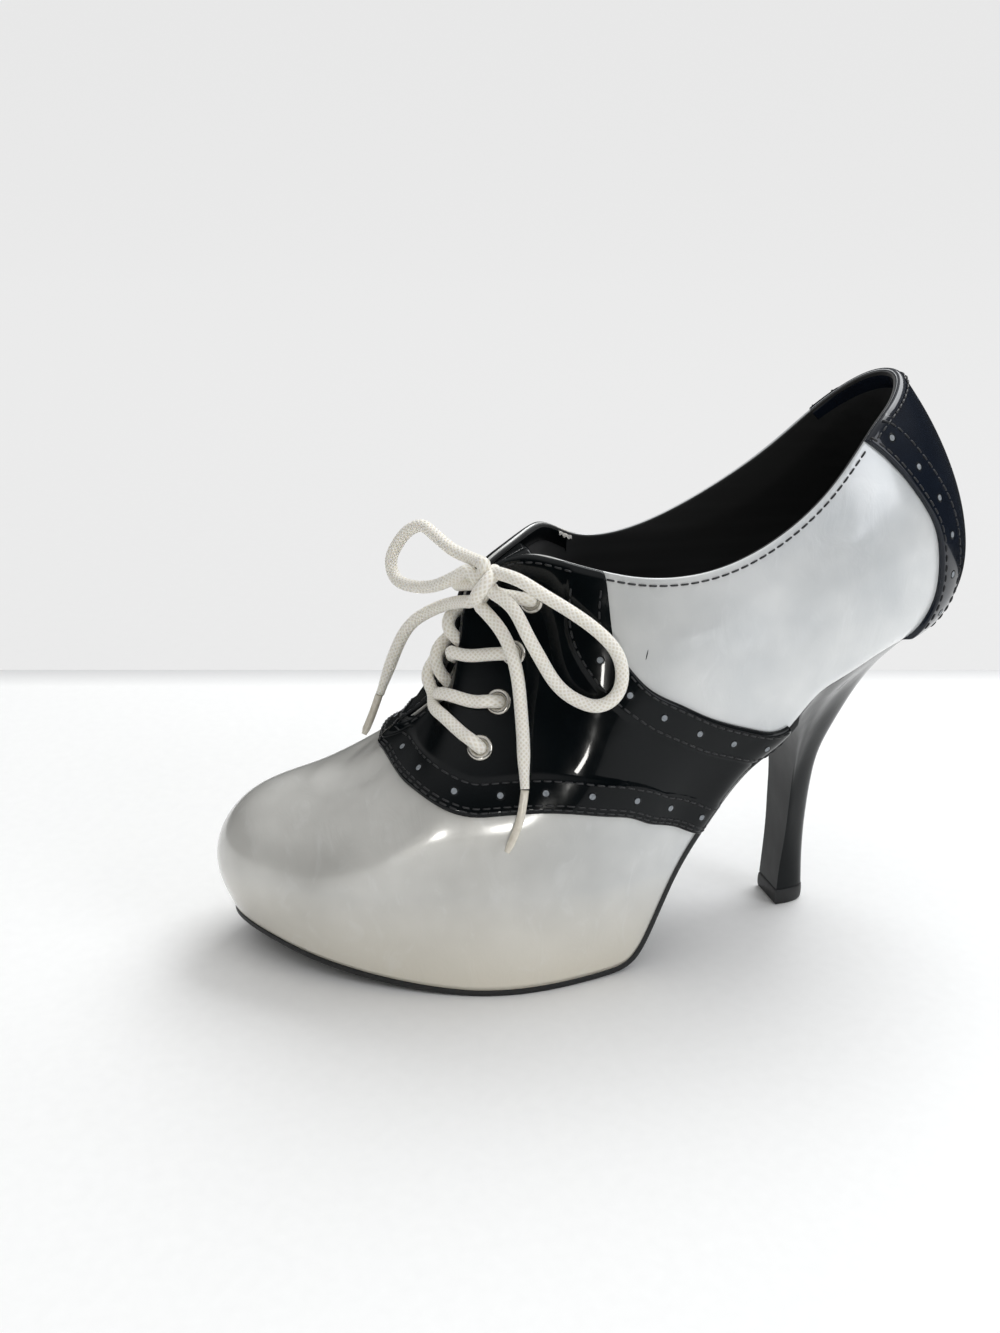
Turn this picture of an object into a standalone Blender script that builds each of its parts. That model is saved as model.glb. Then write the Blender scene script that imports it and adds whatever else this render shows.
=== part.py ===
"""The left shoe of a pair of high-heeled spectator lace-ups with a wrapped platform.

Metres, +Z up. The toe points to -Y and the outer side of the foot is +X. The origin is the centre
of the heel tip's ground face, and the heel tip and the tread of the sole both stand on Z = 0.
"""
import math

import bmesh
import bpy
import numpy as np

# Driving sizes
SOLE_LENGTH = 0.2190    # feather line, from the back of the heel seat to the tip of the toe
SEAT_BACK = 0.0370      # back of the heel seat, behind the centre of the heel tip
BALL_WIDTH = 0.0800     # across the feather line at the ball
HEEL_HEIGHT = 0.0968    # feather line at the back of the seat, above the floor
COUNTER_HEIGHT = 0.0750  # top edge above the feather line at the back
INSTEP_HEIGHT = 0.1290  # peak of the facings, above the floor
TOP_LENGTH = 0.1555     # top edge, from the back of the collar to the front end of the throat
TOP_BACK = 0.0255       # back of the top edge, behind the centre of the heel tip
TOP_WIDTH = 0.0640      # across the collar opening
WALL = 0.0020           # upper with its lining
GAP = 0.0003            # between faces that meet
OVERLAY = 0.0010        # patent leather of the saddle and the counter
OVERLAY_GAP = 0.00045   # between their faceted backs and the upper's faceted face
LINING_GAP = 0.00075    # between the upper's faceted inside and the sole or insole in it
OUTSOLE = 0.0020
TOE_SPRING = 0.0098
INSOLE = 0.0020
PLATFORM = 0.0190       # under the ball, above the outsole
SHANK = 0.0036          # sole between the heel and the platform
TONGUE = 0.0016
TONGUE_GAP = 0.0012     # between the facings' inside and the loose tongue
TONGUE_RISE = 0.0025    # the tongue stands above the facings
TIP_WIDTH = 0.0136
TIP_DEPTH = 0.0112
TIP_HEIGHT = 0.0056
TIP_LIP = 0.0003        # the tip stands proud of the heel above it
TIP_SIDE_CURVE = 0.75   # powers that make its D fuller than an ellipse, at the sides and the back
TIP_BACK_CURVE = 0.8
EYELET_RADIUS = 0.0032
EYELET_BORE = 0.0019
EYELET_HEIGHT = 0.0007
EYELET_ROLL = 0.0004    # how far the ring's top is drawn in from its edges
LACE = 0.0038
AGLET = 0.0024          # the film-wrapped tip of the lace
CORD_CLEAR = 0.0006     # between the facings' eyelets and the lace that passes over them
KNOT_SIZE = (0.0094, 0.0124, 0.0102)

SLIVER = 0.0001    # keeps two rings of one body apart where its form has no height
TREAD = OUTSOLE + GAP    # the feather line above the floor where the sole lies flat

# How finely the curved forms are cut
AROUND = 64
CORD_STEP = 2.0    # cord diameters between the points of a cord
CORD_ROUND = 2     # gives a cord eight sides
STRAND_POINTS = 4
KNOT_ROUND = 12
EYELET_ROUND = 10
RISES = (0, 0.04, 0.09, 0.15, 0.22, 0.30, 0.38, 0.46, 0.55, 0.64, 0.73, 0.82, 0.91, 1)
SADDLE_ROWS = 10
COUNTER_COLUMNS = 17

# The foot bed meets the inner wall at a rise that is looked for in steps up to the highest
BED_HIGHEST = 0.6
BED_STEPS = 61
SOLE_RINGS = (0.2, 0.4, 0.6, 0.8, 1.0)    # shares of the way up the inner wall to the bed

# How far to each side a slope is measured: along the shoe, in stations and in rises
SLOPE_REACH = 0.002
STATION_REACH = 0.045
REACH = 0.008
EVEN_RISE = 0.86    # above this the way out is held, because the top edge turns in sharply

# The feather line, one row for each station from the back of the seat, round the outer side, the
# toe and the inner side. across is a share of half the ball width, along of the sole length.
FEATHER = (
    # across, along
    (0.000, 0.000),
    (0.325, 0.020),
    (0.580, 0.085),
    (0.700, 0.172),
    (0.690, 0.260),
    (0.715, 0.345),
    (0.790, 0.437),
    (0.888, 0.537),
    (0.925, 0.645),
    (0.740, 0.762),
    (0.410, 0.872),
    (0.050, 0.945),
    (-0.425, 0.996),
    (-0.800, 0.955),
    (-1.025, 0.873),
    (-1.088, 0.772),
    (-1.025, 0.662),
    (-0.850, 0.553),
    (-0.663, 0.443),
    (-0.563, 0.347),
    (-0.550, 0.252),
    (-0.600, 0.160),
    (-0.520, 0.072),
    (-0.300, 0.018),
)
STATIONS = len(FEATHER)

# The feather line from the side, above the tread: how much of the heel height and of the toe
# spring it has risen. The first rows are the heel seat, and the next fall along the shank.
SIDE_PROFILE = (
    # along, heel, spring
    (-0.010, 1.0000, 0.000),
    (0.060, 0.9940, 0.000),
    (0.115, 0.9670, 0.000),
    (0.170, 0.9100, 0.000),
    (0.212, 0.8460, 0.000),
    (0.250, 0.7360, 0.000),
    (0.300, 0.6430, 0.000),
    (0.370, 0.4490, 0.000),
    (0.410, 0.3010, 0.000),
    (0.438, 0.1600, 0.000),
    (0.462, 0.0525, 0.000),
    (0.500, 0.0045, 0.000),
    (0.560, 0.0000, 0.000),
    (0.690, 0.0000, 0.000),
    (0.760, 0.0000, 0.105),
    (0.830, 0.0000, 0.290),
    (0.910, 0.0000, 0.600),
    (1.000, 0.0000, 1.000),
)

# The top edge: station, half-widths of the collar, share of the top length, and how high it is. Up
# to 1 that is a share of the instep height, and COUNTER_RISE above 1 is the counter's top edge.
# Stations 8 to 16 are the throat.
COUNTER_RISE = 0.33
TOP_EDGE = (
    # station, across, along, up
    (0.0, -0.010, 0.000, 1.332),
    (1.0, 0.440, 0.060, 1.302),
    (2.0, 0.700, 0.130, 1.250),
    (3.0, 0.870, 0.222, 1.132),
    (4.0, 0.965, 0.338, 1.030),
    (5.0, 0.980, 0.460, 0.974),
    (6.0, 0.910, 0.576, 0.965),
    (6.7, 0.820, 0.650, 0.980),
    (7.3, 0.630, 0.718, 0.998),
    (7.8, 0.385, 0.772, 1.000),
    (8.2, 0.190, 0.823, 0.968),
    (8.8, 0.105, 0.866, 0.884),
    (9.4, 0.095, 0.874, 0.783),
    (10.2, 0.100, 0.895, 0.690),
    (11.0, 0.090, 0.942, 0.624),
    (11.6, 0.056, 0.984, 0.593),
    (12.0, 0.000, 1.000, 0.582),
    (12.4, -0.056, 0.984, 0.593),
    (13.0, -0.090, 0.942, 0.624),
    (13.8, -0.100, 0.895, 0.690),
    (14.6, -0.103, 0.874, 0.783),
    (15.2, -0.120, 0.866, 0.884),
    (15.8, -0.230, 0.811, 0.956),
    (16.2, -0.420, 0.752, 0.985),
    (16.8, -0.740, 0.678, 0.998),
    (17.3, -0.960, 0.614, 0.960),
    (18.3, -1.015, 0.498, 0.946),
    (19.2, -1.000, 0.383, 0.993),
    (20.0, -0.985, 0.274, 1.062),
    (21.0, -0.905, 0.170, 1.155),
    (22.0, -0.750, 0.086, 1.256),
    (23.0, -0.405, 0.028, 1.332),
)

# How far each section bulges past the straight line from the feather to the top edge, at five
# shares of the way up, in shares of half the ball width.
BULGE_AT = (0.05, 0.18, 0.38, 0.62, 0.84)
SECTIONS = (
    # station, five bulges
    (0, 0.140, 0.340, 0.405, 0.330, 0.170),
    (2, 0.105, 0.195, 0.225, 0.185, 0.090),
    (4, 0.070, 0.125, 0.150, 0.120, 0.060),
    (6, 0.050, 0.090, 0.150, 0.165, 0.090),
    (7, 0.050, 0.130, 0.240, 0.200, 0.095),
    (8, 0.055, 0.165, 0.285, 0.150, 0.030),
    (9, 0.070, 0.220, 0.375, 0.270, 0.020),
    (10, 0.100, 0.330, 0.480, 0.300, 0.060),
    (11, 0.120, 0.365, 0.435, 0.275, 0.055),
    (12, 0.145, 0.435, 0.505, 0.228, 0.018),
    (13, 0.125, 0.375, 0.440, 0.250, 0.045),
    (14, 0.095, 0.275, 0.400, 0.265, 0.055),
    (15, 0.075, 0.215, 0.375, 0.230, 0.020),
    (16, 0.060, 0.165, 0.280, 0.150, 0.030),
    (17, 0.040, 0.090, 0.165, 0.175, 0.100),
    (18, 0.015, 0.040, 0.080, 0.100, 0.060),
    (20, 0.050, 0.100, 0.125, 0.100, 0.050),
    (22, 0.100, 0.180, 0.220, 0.180, 0.090),
)

# The foot bed from the side: along the sole, and how far it has risen from the platform under the
# ball to the heel seat.
BED = (
    # along, rise
    (-0.010, 1.000),
    (0.060, 0.993),
    (0.115, 0.963),
    (0.170, 0.898),
    (0.212, 0.822),
    (0.250, 0.700),
    (0.300, 0.597),
    (0.370, 0.384),
    (0.410, 0.258),
    (0.443, 0.158),
    (0.489, 0.066),
    (0.543, 0.018),
    (0.600, 0.000),
    (0.740, 0.000),
    (0.854, 0.025),
    (1.000, 0.110),
)

# The saddle, one row for each cut across it from the heel breast on the outer side to the front
# of the throat: where its lower and its upper edge lie. The inner side mirrors the stations.
SADDLE = (
    # low station, low rise, high station, high rise
    (3.88, 0.000, 3.90, 0.095),
    (4.35, 0.000, 4.40, 0.200),
    (4.85, 0.000, 5.05, 0.413),
    (5.35, 0.005, 5.70, 0.613),
    (5.65, 0.150, 6.28, 0.750),
    (6.00, 0.300, 6.66, 0.830),
    (6.40, 0.408, 6.77, 0.910),
    (6.80, 0.438, 6.72, 1.000),
    (7.30, 0.438, 7.28, 1.000),
    (7.75, 0.438, 7.80, 1.000),
    (8.25, 0.440, 8.22, 1.000),
    (8.75, 0.475, 8.80, 1.000),
    (9.40, 0.568, 9.40, 1.000),
    (10.00, 0.650, 10.20, 1.000),
    (10.60, 0.735, 10.90, 1.000),
    (11.30, 0.838, 11.50, 1.000),
    (12.00, 0.905, 12.00, 1.000),
)

# The counter's front edge, the same on both sides of the heel.
COUNTER = (
    # rise, station
    (0.00, 1.80),
    (0.10, 1.70),
    (0.20, 1.55),
    (0.35, 1.44),
    (0.50, 1.41),
    (0.62, 1.53),
    (0.75, 1.72),
    (0.88, 1.96),
    (1.00, 2.22),
)

# The outer row of eyelets from the toe up, which the inner row mirrors, and the throat's edge
# beside each.
EYELETS = (
    # station, rise, station of the edge
    (8.40, 0.600, 10.60),
    (8.15, 0.688, 10.05),
    (7.95, 0.788, 9.40),
    (7.72, 0.900, 8.80),
)

# The tongue, from its root below the front of the throat to its top: the throat's station there.
TONGUE_ROWS = (11.75, 11.20, 10.60, 10.00, 9.40, 8.80, 8.20, 7.90)
TONGUE_SIDES = (0.86, 0.93, 1.00)

# The heel: share of the way from the tip to the seat, and how far the outline has moved from the
# tip's to the seat's at the back, at the sides and at the breast.
HEEL_STEPS = (
    # up, back, side, breast
    (0.00, 0.000, 0.000, 0.00),
    (0.12, -0.015, -0.015, -0.12),
    (0.26, -0.010, 0.000, -0.28),
    (0.40, 0.020, 0.030, -0.32),
    (0.53, 0.095, 0.065, -0.32),
    (0.64, 0.240, 0.160, -0.20),
    (0.76, 0.420, 0.340, 0.05),
    (0.87, 0.610, 0.590, 0.50),
    (0.95, 0.800, 0.830, 0.90),
    (1.00, 0.970, 0.990, 1.00),
)
BREAST_STATION = 3.53   # where the heel's front face meets the feather line, on each side
OUTSOLE_STATION = 3.65  # where the outsole begins, in front of the heel

# The bow. Its knot rests on the outer facing, and each free cord has its own route from the centre
# of the knot, chosen by eye from the photograph, with both ends of a loop at the knot.
KNOT_ON = (8.150, 0.946)    # station and rise
KNOT_OUT = 0.00751          # centre of the knot, out from the upper's face
LOOP_OUTER = (
    (0.0035, 0.0030, 0.0045), (0.0110, 0.0078, 0.0038), (0.0137, 0.0122, 0.0011),
    (0.0164, 0.0172, -0.0020), (0.0190, 0.0222, -0.0053), (0.0222, 0.0285, -0.0106),
    (0.0237, 0.0319, -0.0154), (0.0250, 0.0329, -0.0209), (0.0260, 0.0306, -0.0269),
    (0.0252, 0.0260, -0.0294), (0.0232, 0.0214, -0.0285), (0.0202, 0.0164, -0.0250),
    (0.0172, 0.0117, -0.0173), (0.0152, 0.0079, -0.0097), (0.0110, 0.0050, -0.0035),
    (0.0054, 0.0012, -0.0007),
)
LOOP_INNER = (
    (0.0000, -0.0008, 0.0068), (-0.0076, -0.0032, 0.0067), (-0.0128, -0.0062, 0.0075),
    (-0.0188, -0.0083, 0.0088), (-0.0238, -0.0102, 0.0103), (-0.0278, -0.0120, 0.0113),
    (-0.0328, -0.0157, 0.0087), (-0.0358, -0.0186, 0.0038), (-0.0363, -0.0204, -0.0009),
    (-0.0338, -0.0201, -0.0049), (-0.0278, -0.0179, -0.0062), (-0.0188, -0.0136, -0.0048),
    (-0.0098, -0.0092, -0.0009), (-0.0042, -0.0052, 0.0033),
)
END_OUTER = (
    (0.0029, -0.0018, -0.0054), (0.0079, 0.0026, -0.0111), (0.0115, 0.0049, -0.0172),
    (0.0137, 0.0060, -0.0240), (0.0150, 0.0066, -0.0327), (0.0174, 0.0066, -0.0408),
    (0.0207, 0.0060, -0.0480), (0.0232, 0.0056, -0.0534),
)
END_INNER = (
    (-0.0025, -0.0041, -0.0051), (-0.0088, -0.0059, -0.0070), (-0.0148, -0.0085, -0.0095),
    (-0.0208, -0.0118, -0.0130), (-0.0258, -0.0164, -0.0180), (-0.0288, -0.0197, -0.0245),
    (-0.0303, -0.0220, -0.0309), (-0.0308, -0.0240, -0.0365), (-0.0308, -0.0260, -0.0419),
)
AGLET_OUTER = (
    (0.0232, 0.0056, -0.0537), (0.0250, 0.0037, -0.0620), (0.0260, -0.0003, -0.0711),
)
AGLET_INNER = (
    (-0.0308, -0.0263, -0.0422), (-0.0308, -0.0291, -0.0496), (-0.0303, -0.0315, -0.0545),
)
TOP_STRAND_OUTER = (0.0039, 0.0043, -0.0024)   # where the strands of the last eyelets meet the
TOP_STRAND_INNER = (-0.0047, -0.0024, -0.0006)  # knot, from its centre
KNOT_CLEAR = 1.12

# Finishes: colour, roughness, and how metallic
PEARL = ((0.78, 0.78, 0.75, 1.0), 0.25, 0.0)
PATENT = ((0.008, 0.010, 0.013, 1.0), 0.12, 0.0)
LINING = ((0.012, 0.012, 0.013, 1.0), 0.70, 0.0)
RUBBER = ((0.016, 0.016, 0.017, 1.0), 0.55, 0.0)
SILVER = ((0.70, 0.69, 0.66, 1.0), 0.25, 1.0)
LACE_WHITE = ((0.82, 0.79, 0.71, 1.0), 0.85, 0.0)
SHARP_ANGLE = 40    # degrees between faces that meet in a hard edge


def bends(step, v):
    """Second slopes of the natural cubic through values v, one step apart each."""
    count = v.shape[-2]
    system = np.zeros(v.shape[:-2] + (count, count))
    right = np.zeros_like(v)
    system[..., 0, 0] = system[..., -1, -1] = 1
    for i in range(1, count - 1):
        before, after = step[..., i - 1], step[..., i]
        system[..., i, i - 1] = before
        system[..., i, i] = 2 * (before + after)
        system[..., i, i + 1] = after
        right[..., i, :] = 6 * ((v[..., i + 1, :] - v[..., i, :]) / after[..., None]
                                - (v[..., i, :] - v[..., i - 1, :]) / before[..., None])
    return np.linalg.solve(system, right)


def cubic(a, step, low, high, bend_low, bend_high):
    """A cubic's value where a is the share that is left of its step."""
    b = 1 - a
    curve = (a ** 3 - a) * bend_low + (b ** 3 - b) * bend_high
    return a * low + b * high + curve * step ** 2 / 6


def spline(at, values, where, period=None):
    """A smooth curve through rows of values, natural at its ends or closed with a period."""
    t, v = np.asarray(at, float), np.asarray(values, float)
    if v.ndim == 1:
        v = v[:, None]
    where = np.asarray(where, float)
    if period:
        t = np.concatenate([t - period, t, t + period])
        v = np.concatenate([v, v, v])
        where = where % period
    step = np.diff(t)
    bend = bends(step, v)
    i = np.clip(np.searchsorted(t, where, side="right") - 1, 0, len(t) - 2)
    left = ((t[i + 1] - where) / step[i])[..., None]
    return cubic(left, step[i][..., None], v[i], v[i + 1], bend[i], bend[i + 1])


def along_ribs(knots, rise):
    """Places on smooth ribs, one rib of knots for each rise, by share of the rib's length."""
    step = np.linalg.norm(np.diff(knots, axis=-2), axis=-1)
    run = np.concatenate([np.zeros_like(step[..., :1]), np.cumsum(step, -1)], -1)
    where = rise * run[..., -1]
    i = np.clip((where[..., None] >= run).sum(-1) - 1, 0, knots.shape[-2] - 2)[..., None]
    bend = bends(step, knots)
    low, high = (np.take_along_axis(knots, (i + k)[..., None], -2)[..., 0, :] for k in (0, 1))
    bend_low, bend_high = (np.take_along_axis(bend, (i + k)[..., None], -2)[..., 0, :]
                           for k in (0, 1))
    size = np.take_along_axis(step, i, -1)
    left = (np.take_along_axis(run, i + 1, -1) - where[..., None]) / size
    return cubic(left, size, low, high, bend_low, bend_high)


def columns(table):
    rows = np.array(table, float)
    return rows[:, 0], rows[:, 1:]


def side_height(y):
    """The feather line's height at a place along the shoe."""
    along = (SEAT_BACK - y) / SOLE_LENGTH
    up = np.maximum(spline(*columns(SIDE_PROFILE), along), 0)
    return TREAD + up[..., 0] * (HEEL_HEIGHT - TREAD) + up[..., 1] * TOE_SPRING


def bed_height(y):
    """The top of the sole, under the insole."""
    rise = np.maximum(spline(*columns(BED), (SEAT_BACK - y) / SOLE_LENGTH)[..., 0], 0)
    low, high = TREAD + PLATFORM, HEEL_HEIGHT + SHANK
    return low + rise * (high - low)


def side_slope(y):
    """How much longer the sole is than its plan there."""
    rise = (side_height(y + SLOPE_REACH) - side_height(y - SLOPE_REACH)) / (2 * SLOPE_REACH)
    return np.sqrt(1 + rise ** 2)


def feather(station):
    """The bottom edge of the upper's outer face."""
    rows = np.array(FEATHER)
    plan = spline(range(STATIONS), rows, station, STATIONS)
    y = SEAT_BACK - plan[..., 1] * SOLE_LENGTH
    return np.stack([plan[..., 0] * BALL_WIDTH / 2, y, side_height(y)], -1)


def top_edge(station):
    edge = spline(*columns(TOP_EDGE), station, STATIONS)
    x = edge[..., 0] * TOP_WIDTH / 2
    y = TOP_BACK - edge[..., 1] * TOP_LENGTH
    seat = np.clip((edge[..., 2] - 1) / COUNTER_RISE, 0, 1)
    z = np.where(seat > 0, INSTEP_HEIGHT + seat * (HEEL_HEIGHT + COUNTER_HEIGHT - INSTEP_HEIGHT),
                 edge[..., 2] * INSTEP_HEIGHT)
    return np.stack([x, y, z], -1)


def unit(v):
    return v / np.maximum(np.linalg.norm(v, axis=-1, keepdims=True), 1e-12)


def shell(station, rise):
    """The upper's outer face: station round the shoe, rise from 0 at the feather to 1 on top."""
    station, rise = np.broadcast_arrays(np.asarray(station, float), np.asarray(rise, float))
    low, high = feather(station), top_edge(station)
    way = feather(station + STATION_REACH) - feather(station - STATION_REACH)
    out = unit(np.stack([-way[..., 1], way[..., 0], 0 * way[..., 0]], -1))
    chord = high - low
    along = unit(chord)
    out = unit(out - (out * along).sum(-1, keepdims=True) * along)
    bulges = spline(*columns(SECTIONS), station, STATIONS) * BALL_WIDTH / 2
    knots = [low] + [low + chord * share + out * bulges[..., i:i + 1]
                     for i, share in enumerate(BULGE_AT)] + [high]
    return along_ribs(np.stack(knots, -2), rise)


def shell_normal(station, rise):
    """The way out of the outer face. Close to the top edge it stays what it is below it."""
    rise = np.minimum(rise, EVEN_RISE)
    station, rise = np.broadcast_arrays(np.asarray(station, float), np.asarray(rise, float))
    up = shell(station, rise + REACH) - shell(station, np.maximum(rise - REACH, 0))
    on = shell(station + STATION_REACH, rise) - shell(station - STATION_REACH, rise)
    return unit(np.cross(up, on))


def offset(station, rise, out):
    """A place a given way out from the upper's outer face, or in from it."""
    return shell(station, rise) + shell_normal(station, rise) * np.asarray(out)[..., None]


def material(name, colour, roughness, metallic):
    made = bpy.data.materials.new(name)
    made.use_nodes = True
    shader = made.node_tree.nodes["Principled BSDF"]
    shader.inputs["Base Color"].default_value = colour
    shader.inputs["Roughness"].default_value = roughness
    shader.inputs["Metallic"].default_value = metallic
    made.diffuse_color = colour
    return made


def add(name, points, faces, finish):
    """One closed body from its points and faces, with its faces turned outward."""
    mesh = bpy.data.meshes.new(name)
    body = bmesh.new()
    corners = [body.verts.new(p) for p in np.asarray(points, float).reshape(-1, 3)]
    for face in faces:
        used = list(dict.fromkeys(face))
        if len(used) > 2:
            body.faces.new([corners[i] for i in used])
    bmesh.ops.triangulate(body, faces=body.faces[:])
    bmesh.ops.recalc_face_normals(body, faces=body.faces[:])
    body.to_mesh(mesh)
    body.free()
    mesh.materials.append(finish)
    mesh.shade_smooth()
    mesh.set_sharp_from_angle(angle=math.radians(SHARP_ANGLE))
    made = bpy.data.objects.new(name, mesh)
    bpy.context.collection.objects.link(made)
    return made


def sheet(name, outer, inner, finish, closed=False):
    """A wall between two grids of points, closed around where its columns come back round."""
    across, up = outer.shape[:2]
    points = np.concatenate([outer.reshape(-1, 3), inner.reshape(-1, 3)])

    def at(side, i, j):
        return side * across * up + (i % across) * up + j

    faces = []
    for i in range(across if closed else across - 1):
        for j in range(up - 1):
            for side in (0, 1):
                faces.append([at(side, i, j), at(side, i + 1, j),
                              at(side, i + 1, j + 1), at(side, i, j + 1)])
        for j in (0, up - 1):
            faces.append([at(0, i, j), at(0, i + 1, j), at(1, i + 1, j), at(1, i, j)])
    if not closed:
        for i in (0, across - 1):
            for j in range(up - 1):
                faces.append([at(0, i, j), at(0, i, j + 1), at(1, i, j + 1), at(1, i, j)])
    return add(name, points, faces, finish)


def stack(name, rings, rungs, finish):
    """A body of rings one above the other. Rungs pair the points of a ring across its two ends."""
    count = len(rings[0])
    faces = []
    for low in range(len(rings) - 1):
        for j in range(count):
            k = (j + 1) % count
            faces.append([low * count + j, low * count + k,
                          (low + 1) * count + k, (low + 1) * count + j])
    for start in (0, (len(rings) - 1) * count):
        for (a, b), (c, d) in zip(rungs, rungs[1:]):
            faces.append([start + a, start + c, start + d, start + b])
    return add(name, np.concatenate(rings), faces, finish)


def stations_round():
    """Columns round the shoe, alike on both sides, with the heel breast between two of them."""
    half = np.linspace(0, STATIONS / 2, AROUND // 2 + 1)
    half = np.sort(np.append(half, [BREAST_STATION, OUTSOLE_STATION]))
    return np.concatenate([half, STATIONS - half[-2:0:-1]])


def stations_of_heel():
    """The same columns behind the breast, from the outer side round the back, as shares."""
    half = np.arange(0, BREAST_STATION, STATIONS / AROUND)
    return np.concatenate([[1], half[:0:-1] / BREAST_STATION, -half / BREAST_STATION, [-1]])


def round_rungs(count):
    return [(j, -j % count) for j in range(count // 2 + 1)]


def rise_at_bed(station, depth, lift):
    """How far up the inner wall the foot bed lies, raised by lift."""
    rises = np.linspace(0, BED_HIGHEST, BED_STEPS)
    inner = offset(station[:, None], rises, -depth)
    above = inner[..., 2] - bed_height(inner[..., 1]) - lift
    first = np.maximum((above > 0).argmax(1), 1)
    rows = np.arange(len(station))
    low, high = above[rows, first - 1], above[rows, first]
    share = np.clip(low / (low - high), 0, 1)
    return rises[first - 1] + share * (rises[1] - rises[0])


def make_upper(finish):
    station = stations_round()[:, None]
    rise = np.array(RISES)[None, :]
    outer = shell(station, rise)
    inner = offset(station, rise, -WALL)
    inner[:, 0, 2] = outer[:, 0, 2]
    return sheet("upper", outer, inner, finish, closed=True)


def make_saddle(finish):
    rows = np.array(SADDLE)
    inner_side = rows[-2::-1].copy()
    inner_side[:, [0, 2]] = STATIONS - inner_side[:, [0, 2]]
    rows = np.concatenate([rows, inner_side])
    cut = spline(range(len(rows)), rows, np.linspace(0, len(rows) - 1, 2 * len(rows) - 1))
    share = np.linspace(0, 1, SADDLE_ROWS)[None, :]
    station = cut[:, None, 0] * (1 - share) + cut[:, None, 2] * share
    rise = np.clip(cut[:, None, 1] * (1 - share) + cut[:, None, 3] * share, 0, 1)
    return sheet("saddle", offset(station, rise, OVERLAY_GAP + OVERLAY),
                 offset(station, rise, OVERLAY_GAP), finish)


def make_counter(finish):
    rise = np.array(RISES, float)
    edge = spline(*columns(COUNTER), rise)[None, :, 0]
    station = np.linspace(-1, 1, COUNTER_COLUMNS)[:, None] * edge
    rise = np.broadcast_to(rise, station.shape)
    return sheet("heel_counter", offset(station, rise, OVERLAY_GAP + OVERLAY),
                 offset(station, rise, OVERLAY_GAP), finish)


def make_tongue(finish):
    station, rise = np.meshgrid(TONGUE_ROWS, TONGUE_SIDES, indexing="ij")
    faces = []
    for depth in (WALL + TONGUE_GAP, WALL + TONGUE_GAP + TONGUE):
        outer_side = offset(station, rise, -depth)
        inner_side = offset(STATIONS - station, rise, -depth)[:, ::-1]
        middle = (outer_side[:, -1:] + inner_side[:, :1]) / 2
        grid = np.concatenate([outer_side, middle, inner_side], 1)
        top = grid[-1:] + unit(grid[-1:] - grid[-2:-1]) * TONGUE_RISE
        faces.append(np.concatenate([grid, top]))
    return sheet("tongue", faces[0], faces[1], finish)


def make_sole(finish):
    station = stations_round()
    edge = feather(station)
    foot = offset(station, 0 * station, -(WALL + LINING_GAP))
    under_heel = np.minimum(station, STATIONS - station) < OUTSOLE_STATION
    slope = side_slope(edge[:, 1])
    edge[:, 2] -= np.where(under_heel, 0, GAP * slope)
    foot[:, 2] = edge[:, 2]
    rim = np.where(under_heel[:, None], foot, edge)
    down = np.where(under_heel, SLIVER, OUTSOLE * slope)
    bottom = rim - np.stack([0 * down, 0 * down, down], 1)
    bottom[:, 2] = np.maximum(bottom[:, 2], 0)
    depth = WALL + LINING_GAP
    top = rise_at_bed(station, depth, 0)
    walls = [offset(station, top * share, -depth) for share in SOLE_RINGS]
    rings = [bottom, rim, foot + [0, 0, SLIVER]] + walls
    return stack("sole", rings, round_rungs(len(station)), finish)


def make_insole(finish):
    station = stations_round()
    depth = WALL + LINING_GAP
    rings = []
    for lift in (GAP, GAP + INSOLE):
        rings.append(offset(station, rise_at_bed(station, depth, lift), -depth))
    return stack("insole", rings, round_rungs(len(station)), finish)


def tip_outline(width, depth):
    """The heel tip's D, from its outer front corner round the back to its inner front corner."""
    turn = stations_of_heel() * math.pi / 2
    x = np.sign(turn) * np.abs(np.sin(turn)) ** TIP_SIDE_CURVE * width / 2
    y = -depth / 2 + depth * np.cos(turn) ** TIP_BACK_CURVE
    return np.stack([x, y], 1)


def heel_rungs():
    count = len(stations_of_heel())
    return [(j, count - 1 - j) for j in range(count // 2 + 1)]


def make_heel(finish):
    side = stations_of_heel()
    seat = feather(BREAST_STATION * side)
    tip = tip_outline(TIP_WIDTH, TIP_DEPTH)
    front = np.abs(side) ** 2
    rings = []
    for up, back, across, breast in HEEL_STEPS:
        moved = back + (breast - back) * front
        rings.append(np.stack([
            tip[:, 0] + (seat[:, 0] - tip[:, 0]) * across,
            tip[:, 1] + (seat[:, 1] - tip[:, 1]) * moved,
            TIP_HEIGHT + (seat[:, 2] - GAP - TIP_HEIGHT) * up], 1))
    return stack("heel", rings, heel_rungs(), finish)


def make_heel_tip(finish):
    outline = tip_outline(TIP_WIDTH + 2 * TIP_LIP, TIP_DEPTH + 2 * TIP_LIP)
    rings = [np.column_stack([outline, np.full(len(outline), z)]) for z in (0, TIP_HEIGHT - GAP)]
    return stack("heel_tip", rings, heel_rungs(), finish)


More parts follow.
